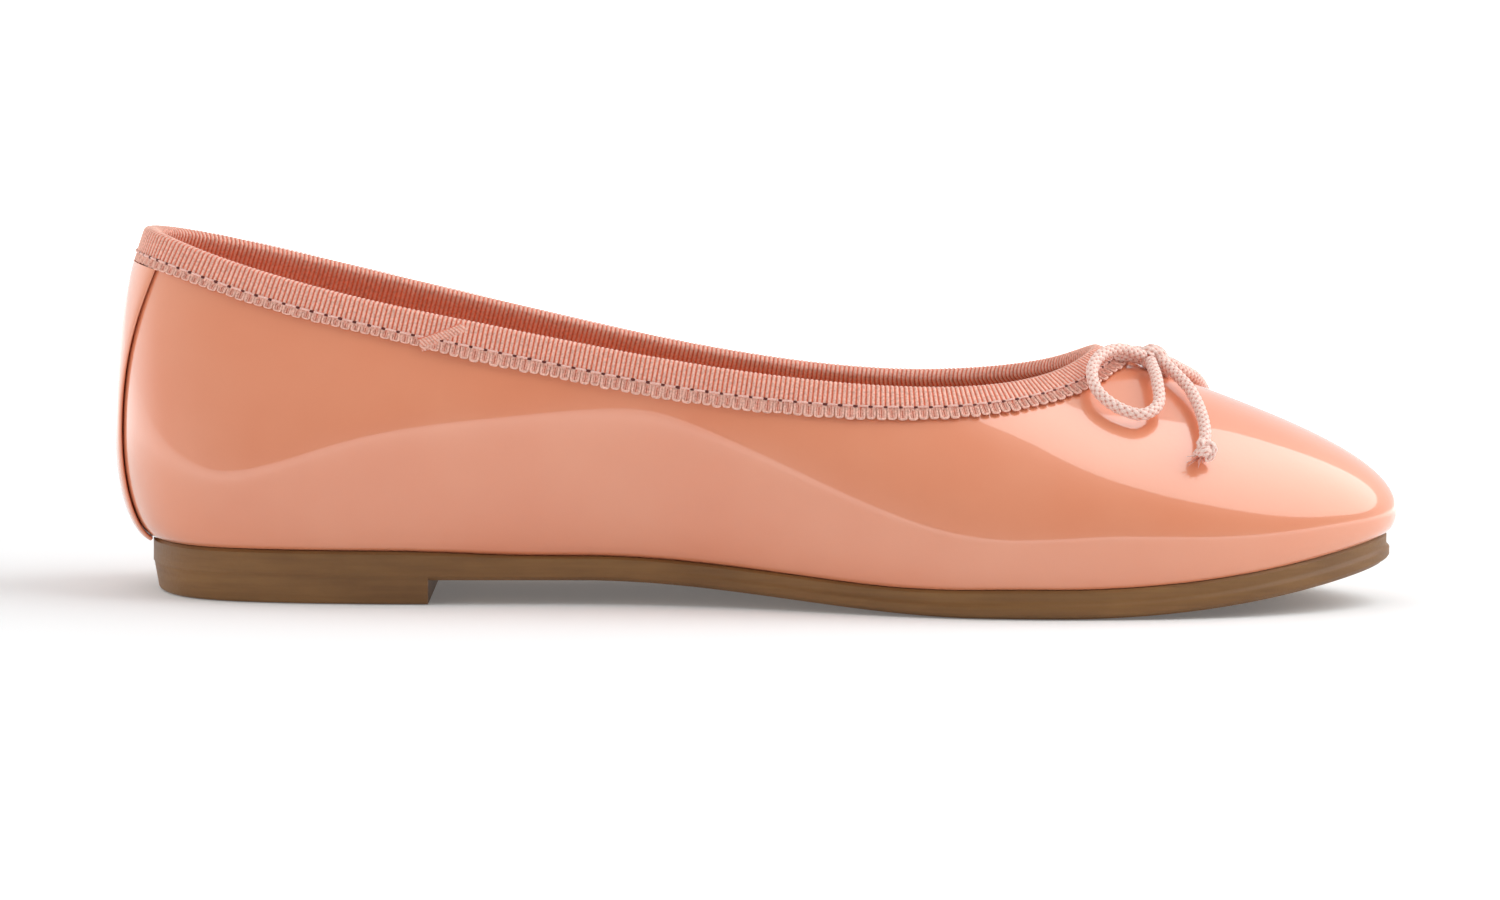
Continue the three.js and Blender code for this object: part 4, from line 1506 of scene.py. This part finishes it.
@dataclass
class Bow:
    """The drawstring's bow: two loops and two tails of braided cord, its knot and the tails' end knots."""

    shift: Array
    cord: float = 2.4
    knot_at: Stop = Stop(-0.22, 11.0, 2.5)
    knot_size: tuple[float, float, float] = (6.0, 6.8, 4.8)
    end_knot: float = 4.6
    end_cord: float = 1.95
    hairs: int = 11
    plies: int = 5
    lay: float = 7.4
    ply_height: float = 0.38
    sides: int = 30
    ring_step: float = 0.14
    loops: dict[Side, tuple[Stop, ...]] = field(default_factory=lambda: {
        Side.INNER: (
            Stop(0.20, 9.2, 2.7), Stop(0.50, 5.4, 3.6), Stop(0.92, 3.6, 3.6), Stop(1.42, 4.8, 3.2),
            Stop(1.72, 9.8, 2.9), Stop(1.73, 15.4, 2.7), Stop(1.58, 19.4, 2.6), Stop(1.28, 19.6, 2.7),
            Stop(0.86, 15.6, 3.0), Stop(0.30, 11.0, 2.7),
        ),
        Side.OUTER: (
            Stop(0.20, 9.4, 2.4), Stop(0.55, 8.2, 2.3), Stop(1.00, 8.6, 2.1), Stop(1.45, 11.0, 1.9),
            Stop(1.72, 15.0, 1.8), Stop(1.66, 19.0, 1.9), Stop(1.36, 20.6, 2.0), Stop(0.96, 18.0, 2.3),
            Stop(0.60, 14.6, 2.5), Stop(0.28, 11.6, 2.5),
        ),
    })
    tails: dict[Side, tuple[Stop, ...]] = field(default_factory=lambda: {
        Side.INNER: (
            Stop(0.0, 11.0, 2.6), Stop(0.13, 13.0, 2.7), Stop(0.36, 16.8, 2.5), Stop(0.56, 20.6, 2.4),
            Stop(0.84, 25.0, 2.2), Stop(1.14, 29.2, 2.3), Stop(1.46, 33.0, 2.7),
        ),
        Side.OUTER: (
            Stop(0.0, 11.0, 2.6), Stop(0.12, 13.2, 2.5), Stop(0.34, 17.0, 1.9), Stop(0.62, 21.0, 1.8),
            Stop(0.94, 25.0, 1.8), Stop(1.24, 29.0, 2.0), Stop(1.52, 32.6, 2.7),
        ),
    })
    tip: Stop = Stop(0.28, 1.4, -0.5)
    root: tuple[Stop, ...] = (
        Stop(0.1, 15.2, 1.1), Stop(0.06, 12.6, 1.25), Stop(0.08, 10.2, 1.4), Stop(0.18, 8.2, 1.7),
        Stop(0.34, 6.2, 1.8), Stop(0.44, 4.4, 0.7),
    )

    def place(self, stop: Stop, side: Side) -> Array:
        """A place on a route as a point."""
        u = np.array([TOE_ROW + self.knot_at.sections + side.value * stop.sections])
        return LAST.off_face(u, np.array([[stop.down]]), stop.lift)[0, 0]

    def knot_centre(self) -> Array:
        """The middle of the bow's knot."""
        return self.place(Stop(0.0, self.knot_at.down, self.knot_at.lift), Side.INNER)

    def route(self, stops: tuple[Stop, ...], side: Side) -> Array:
        """A cord's centreline, evenly stepped."""
        points = np.array([self.place(stop, side) for stop in stops])
        return resampled(smooth_route(points), self.ring_step)

    def braided(self, path: Array, diameter: float, axis: Array | None = None) -> Form:
        """A braided tube along a path, with its plies raised.

        Args:
            path: The ring centres.
            diameter: The cord's diameter.
            axis: A direction that the braid's first ply leans towards.

        Returns:
            The tube, with the point value "ply" high on the plies and low between them.
        """
        along = lengths_along(path)[:, None]
        angle = (np.arange(self.sides) / self.sides)[None]
        right = self.plies * (angle - along / self.lay)
        left = self.plies * (angle + along / self.lay)
        heights = []
        for own, other, way in ((right, left, 1.0), (left, right, -1.0)):
            strand = np.sqrt(np.clip(1 - (2 * np.abs(own - np.round(own))) ** 2, 0, 1))
            over = 0.5 + 0.5 * way * np.cos(math.pi * (other + np.round(own)))
            heights.append(strand * (0.45 + 0.55 * over))
        ply = np.maximum(*heights)
        radius = diameter / 2 + self.ply_height * (ply - 0.95)
        rings = tube(path, radius, self.sides, axis)
        return capped(rings, {"ply": ply})

    def frame_at(self, stop: Stop, side: Side) -> tuple[Array, Array, Array, Array]:
        """A place on the vamp with its directions towards the toe, across and away from the leather."""
        u = np.array([TOE_ROW + self.knot_at.sections + side.value * stop.sections])
        down = np.array([[stop.down]])
        away = LAST.normals(u, down)[0, 0]
        below = LAST.face(u, down + 1)[0, 0] - LAST.face(u, down - 1)[0, 0]
        ahead = unit(below - away * np.dot(below, away))
        across = np.cross(away, ahead)
        return self.place(stop, side), ahead, across, away

    def knot(self) -> Form:
        """The bow's knot: two turns of cord drawn over the loops, the strands that cross under them and
        the roots that come out of the binding."""
        stop = Stop(0.0, self.knot_at.down, self.knot_at.lift)
        centre, ahead, across, away = self.frame_at(stop, Side.INNER)
        half = [size / 2 - self.cord / 2 + 0.12 for size in self.knot_size]
        turn = np.linspace(0, 2 * math.pi, 60)[:, None]
        made = None
        for aside, skew in ((-1.15, 0.8), (1.2, -0.55)):
            ring = (centre + across * (aside + skew * np.cos(turn)) + ahead * half[0] * np.cos(turn)
                    + away * half[2] * np.sin(turn))
            form = self.braided(ring, self.cord - 0.15, across)
            made = form if made is None else made.joined(form)
        strand = np.linspace(-1, 1, 40)[:, None]
        bridge = (centre + across * half[1] * strand * 1.02 + ahead * 0.9 * np.sin(1.4 * strand)
                  + away * (0.9 - 0.9 * strand ** 2))
        made = made.joined(self.braided(bridge, self.cord, away))
        for side in Side:
            made = made.joined(self.braided(self.route(self.root, side), self.cord - 0.3))
        return made

    def tail_end(self, side: Side) -> Form:
        """The knot tied in a tail's end, with the frayed tip below it."""
        last_stop = self.tails[side][-1]
        centre, ahead, across, away = self.frame_at(last_stop, side)
        t = np.linspace(0, 2 * math.pi, 140)[:, None]
        reach = (self.end_knot + 0.3 - self.end_cord) / 2 / 3
        line = (ahead * (np.sin(t) + 2 * np.sin(2 * t)) + across * (np.cos(t) - 2 * np.cos(2 * t))
                - away * 2.1 * np.sin(3 * t)) * reach
        made = self.braided(centre + line, self.end_cord, away)
        low = Stop(*(a + b for a, b in zip(last_stop, self.tip)))
        towards = self.place(low, side) - centre
        towards = unit(towards)
        aside = unit(np.cross(towards, away))
        for i in range(self.hairs):
            angle = 2.4 * i
            start = centre + (aside * math.cos(angle) + away * math.sin(angle)) * 0.12 * math.sqrt(i)
            lean = (aside * math.cos(angle) + away * 0.5 * math.sin(angle)) * 0.16 * math.sqrt(i)
            long = 3.6 + 0.7 * math.sin(2.7 * i)
            s = np.linspace(0, 1, 9)[:, None]
            hair = start + (towards * s + lean * s ** 2) * long
            thin = np.repeat(0.26 * (1 - 0.75 * s ** 2), 6, axis=1)
            rings = tube(hair, thin, 6)
            tone = np.full(rings.shape[:2], 0.3 + 0.35 * (i % 3) / 2)
            made = made.joined(capped(rings, {"ply": tone}))
        return made

    def build(self, finish: bpy.types.Material) -> list[bpy.types.Object]:
        """Makes the bow.

        Args:
            finish: The cord's finish.

        Returns:
            The pieces.
        """
        knot = piece("knot_turns", self.knot().mesh("knot_turns", self.shift), finish, "cord", "bow_knot")
        made = [knot]
        for side in Side:
            word = side.name.lower()
            end = piece(f"tail_end_{word}", self.tail_end(side).mesh(f"tail_end_{word}", self.shift), finish,
                        "cord", f"tail_knot_{word}")
            plans = (
                (f"loop_{word}", self.loops[side], "object", [knot] if side is Side.INNER else [], "bow_loop"),
                (f"tail_{word}", self.tails[side], "knot", [end], "bow_tail"),
            )
            for name, stops, far_end, carried, node in plans:
                path = self.route(stops, side)
                mesh = self.braided(path, self.cord).mesh(name, self.shift)
                cord = piece(name, mesh, finish, "cord", f"{node}_{word}")
                made.append(cord)
            made.append(end)
        return made


# Studio


@dataclass
class Studio:
    """White floor, soft lights and the camera."""

    shift: Array
    target: tuple[float, float, float] = (124.0, 0.0, 27.85)
    elevation: float = 5.5
    distance: float = 1250.0
    roll: float = 0.6
    lens: float = 153.6
    sensor: float = 36.0
    floor_half: float = 14.0
    floor_drop: float = 0.0001
    floor_tone: Colour = (0.8, 0.815, 0.82, 1.0)
    glow_from: float = 0.17
    glow_to: float = 0.55
    glow_near: float = 0.12
    backdrop: float = 1.1
    front: float = 0.18
    behind: float = 0.75
    heel_side: float = 0.5

    def camera(self) -> None:
        """Sets the camera at the photograph's angle."""
        lift, roll = math.radians(self.elevation), math.radians(self.roll)
        back = Vector((0, -math.cos(lift), math.sin(lift)))
        level, up = Vector((1, 0, 0)), Vector((0, math.sin(lift), math.cos(lift)))
        right = level * math.cos(roll) + up * math.sin(roll)
        above = up * math.cos(roll) - level * math.sin(roll)
        target = Vector((np.array(self.target) + self.shift) * MM)
        data = bpy.data.cameras.new("camera")
        data.lens, data.sensor_width, data.sensor_fit = self.lens, self.sensor, "HORIZONTAL"
        data.clip_end = 100.0
        camera = bpy.data.objects.new("camera", data)
        turn = Matrix((right, above, back)).transposed().to_4x4()
        camera.matrix_world = Matrix.Translation(target + back * self.distance * MM) @ turn
        bpy.context.scene.collection.objects.link(camera)
        bpy.context.scene.camera = camera

    def floor(self) -> None:
        """Lays the white floor, which also glows: faintly near the shoe and fully further off, painted light.
        """
        half = self.floor_half
        mesh = bpy.data.meshes.new("floor")
        corners = [(-half, -half), (half, -half), (half, half), (-half, half)]
        mesh.from_pydata([(x, y, -self.floor_drop) for x, y in corners], [], [[0, 1, 2, 3]])
        sheet = NodeSheet("floor_white")
        # Emission rises with distance from the shoe: painted light that whitens the far floor and lifts the
        # shade near the shoe.
        from_shoe = sheet.add("ShaderNodeVectorMath", {0: sheet.place()}, operation="LENGTH").outputs["Value"]
        ends = {"From Min": self.glow_from, "From Max": self.glow_to, "To Min": self.glow_near, "To Max": 1.0}
        glow = sheet.add("ShaderNodeMapRange", {"Value": from_shoe, **ends}, interpolation_type="SMOOTHSTEP")
        sheet.shade(Base_Color=self.floor_tone, Roughness=0.9, Specular_IOR_Level=0.1,
                    Emission_Color=(1.0, 1.0, 1.0, 1.0), Emission_Strength=glow.outputs[0])
        mesh.materials.append(sheet.material)
        floor = bpy.data.objects.new("floor", mesh)
        bpy.context.scene.collection.objects.link(floor)

    def light(self, name: str, at: tuple[float, float, float], aim: tuple[float, float, float],
              size: tuple[float, float], radiance: float, is_mirrored: bool = True) -> None:
        """Hangs a soft light.

        Args:
            name: Its name.
            at: Its middle, in metres.
            aim: The point that it faces, in metres.
            size: Its width and height, in metres.
            radiance: How bright its face is, where the white floor is about 1.
            is_mirrored: Whether glossy faces show it.
        """
        data = bpy.data.lights.new(name, "AREA")
        data.shape, data.size, data.size_y = "ELLIPSE", size[0], size[1]
        data.energy = radiance * math.pi * math.pi / 4 * size[0] * size[1]
        lamp = bpy.data.objects.new(name, data)
        lamp.location = at
        lamp.visible_camera = False
        lamp.visible_glossy = is_mirrored
        lamp.rotation_euler = (Vector(aim) - Vector(at)).to_track_quat("-Z", "Y").to_euler()
        bpy.context.scene.collection.objects.link(lamp)

    def world(self) -> None:
        """Fills the room with soft light, brighter behind the shoe and past its heel."""
        world = bpy.data.worlds.new("studio")
        world.use_nodes = True
        bpy.context.scene.world = world
        tree = world.node_tree
        nodes, link = tree.nodes, tree.links.new
        ground = nodes["Background"]
        ground.inputs["Color"].default_value = (1.0, 1.0, 1.0, 1.0)
        place = nodes.new("ShaderNodeTexCoord")
        split = nodes.new("ShaderNodeSeparateXYZ")
        link(place.outputs["Generated"], split.inputs["Vector"])
        strength = None
        for axis, dark_at, bright_at, low, high in (
            ("Y", -0.35, 0.6, self.front, self.front + self.behind),
            ("X", -0.2, -0.95, 0.0, self.heel_side),
        ):
            level = nodes.new("ShaderNodeMapRange")
            level.interpolation_type = "SMOOTHSTEP"
            link(split.outputs[axis], level.inputs["Value"])
            ends = {"From Min": dark_at, "From Max": bright_at, "To Min": low, "To Max": high}
            for key, value in ends.items():
                level.inputs[key].default_value = value
            if strength is None:
                strength = level.outputs[0]
            else:
                both = nodes.new("ShaderNodeMath")
                link(strength, both.inputs[0])
                link(level.outputs[0], both.inputs[1])
                strength = both.outputs[0]
        link(strength, ground.inputs["Strength"])
        white = nodes.new("ShaderNodeBackground")
        white.inputs["Color"].default_value = (1.0, 1.0, 1.0, 1.0)
        white.inputs["Strength"].default_value = self.backdrop
        path = nodes.new("ShaderNodeLightPath")
        mix = nodes.new("ShaderNodeMixShader")
        link(path.outputs["Is Camera Ray"], mix.inputs["Fac"])
        link(ground.outputs["Background"], mix.inputs[1])
        link(white.outputs["Background"], mix.inputs[2])
        link(mix.outputs["Shader"], nodes["World Output"].inputs["Surface"])

    def build(self) -> None:
        """Sets the whole studio."""
        bpy.context.scene.view_settings.view_transform = "Standard"
        self.camera()
        self.floor()
        self.world()
        self.light("toe_side", (0.73, 0.0, 0.65), (0.07, -0.025, 0.035), (1.1, 1.34), 2.4)
        self.light("front_fill", (-0.67, -0.68, 0.5), (-0.05, 0.0, 0.03), (1.4, 1.2), 0.46, is_mirrored=False)
        self.light("top_fill", (-0.05, -0.35, 1.0), (-0.02, 0.0, 0.04), (1.2, 0.9), 0.72, is_mirrored=False)


def main() -> None:
    """Builds the shoe's pieces in order and sets them in the studio."""
    logging.basicConfig(level=logging.INFO, format="%(message)s")
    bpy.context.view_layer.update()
    for name in ("Cube", "Light", "Camera"):
        if name in bpy.data.objects:
            bpy.data.objects.remove(bpy.data.objects[name])
    lo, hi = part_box("bow_knot")
    shift = (np.array(lo) + np.array(hi)) / 2 / MM - Bow(np.zeros(3)).knot_centre()
    Studio(shift).build()
    patent, lining = PatentFinish().material(), LiningFinish().material()
    ribbon, cord = RibbonFinish().material(), CordFinish().material()
    rubber = RubberFinish().material()
    thread = ThreadFinish("sewing_thread", "e0a394", "f4cdc1").material()
    # The needle holes' dark finish is painted shade.
    hole_shade = ThreadFinish("needle_hole", "4a130c", "6b2015").material()
    Bow(shift).build(cord)
    Upper(shift).build(patent, lining)
    Outsole(shift).build(rubber)
    Insole(shift).build(lining)
    BackStay(shift).build(patent)
    TopBinding(shift).build(RibTree(), RepeatTree(), ribbon, thread, hole_shade)


if __name__ == "__main__":
    main()
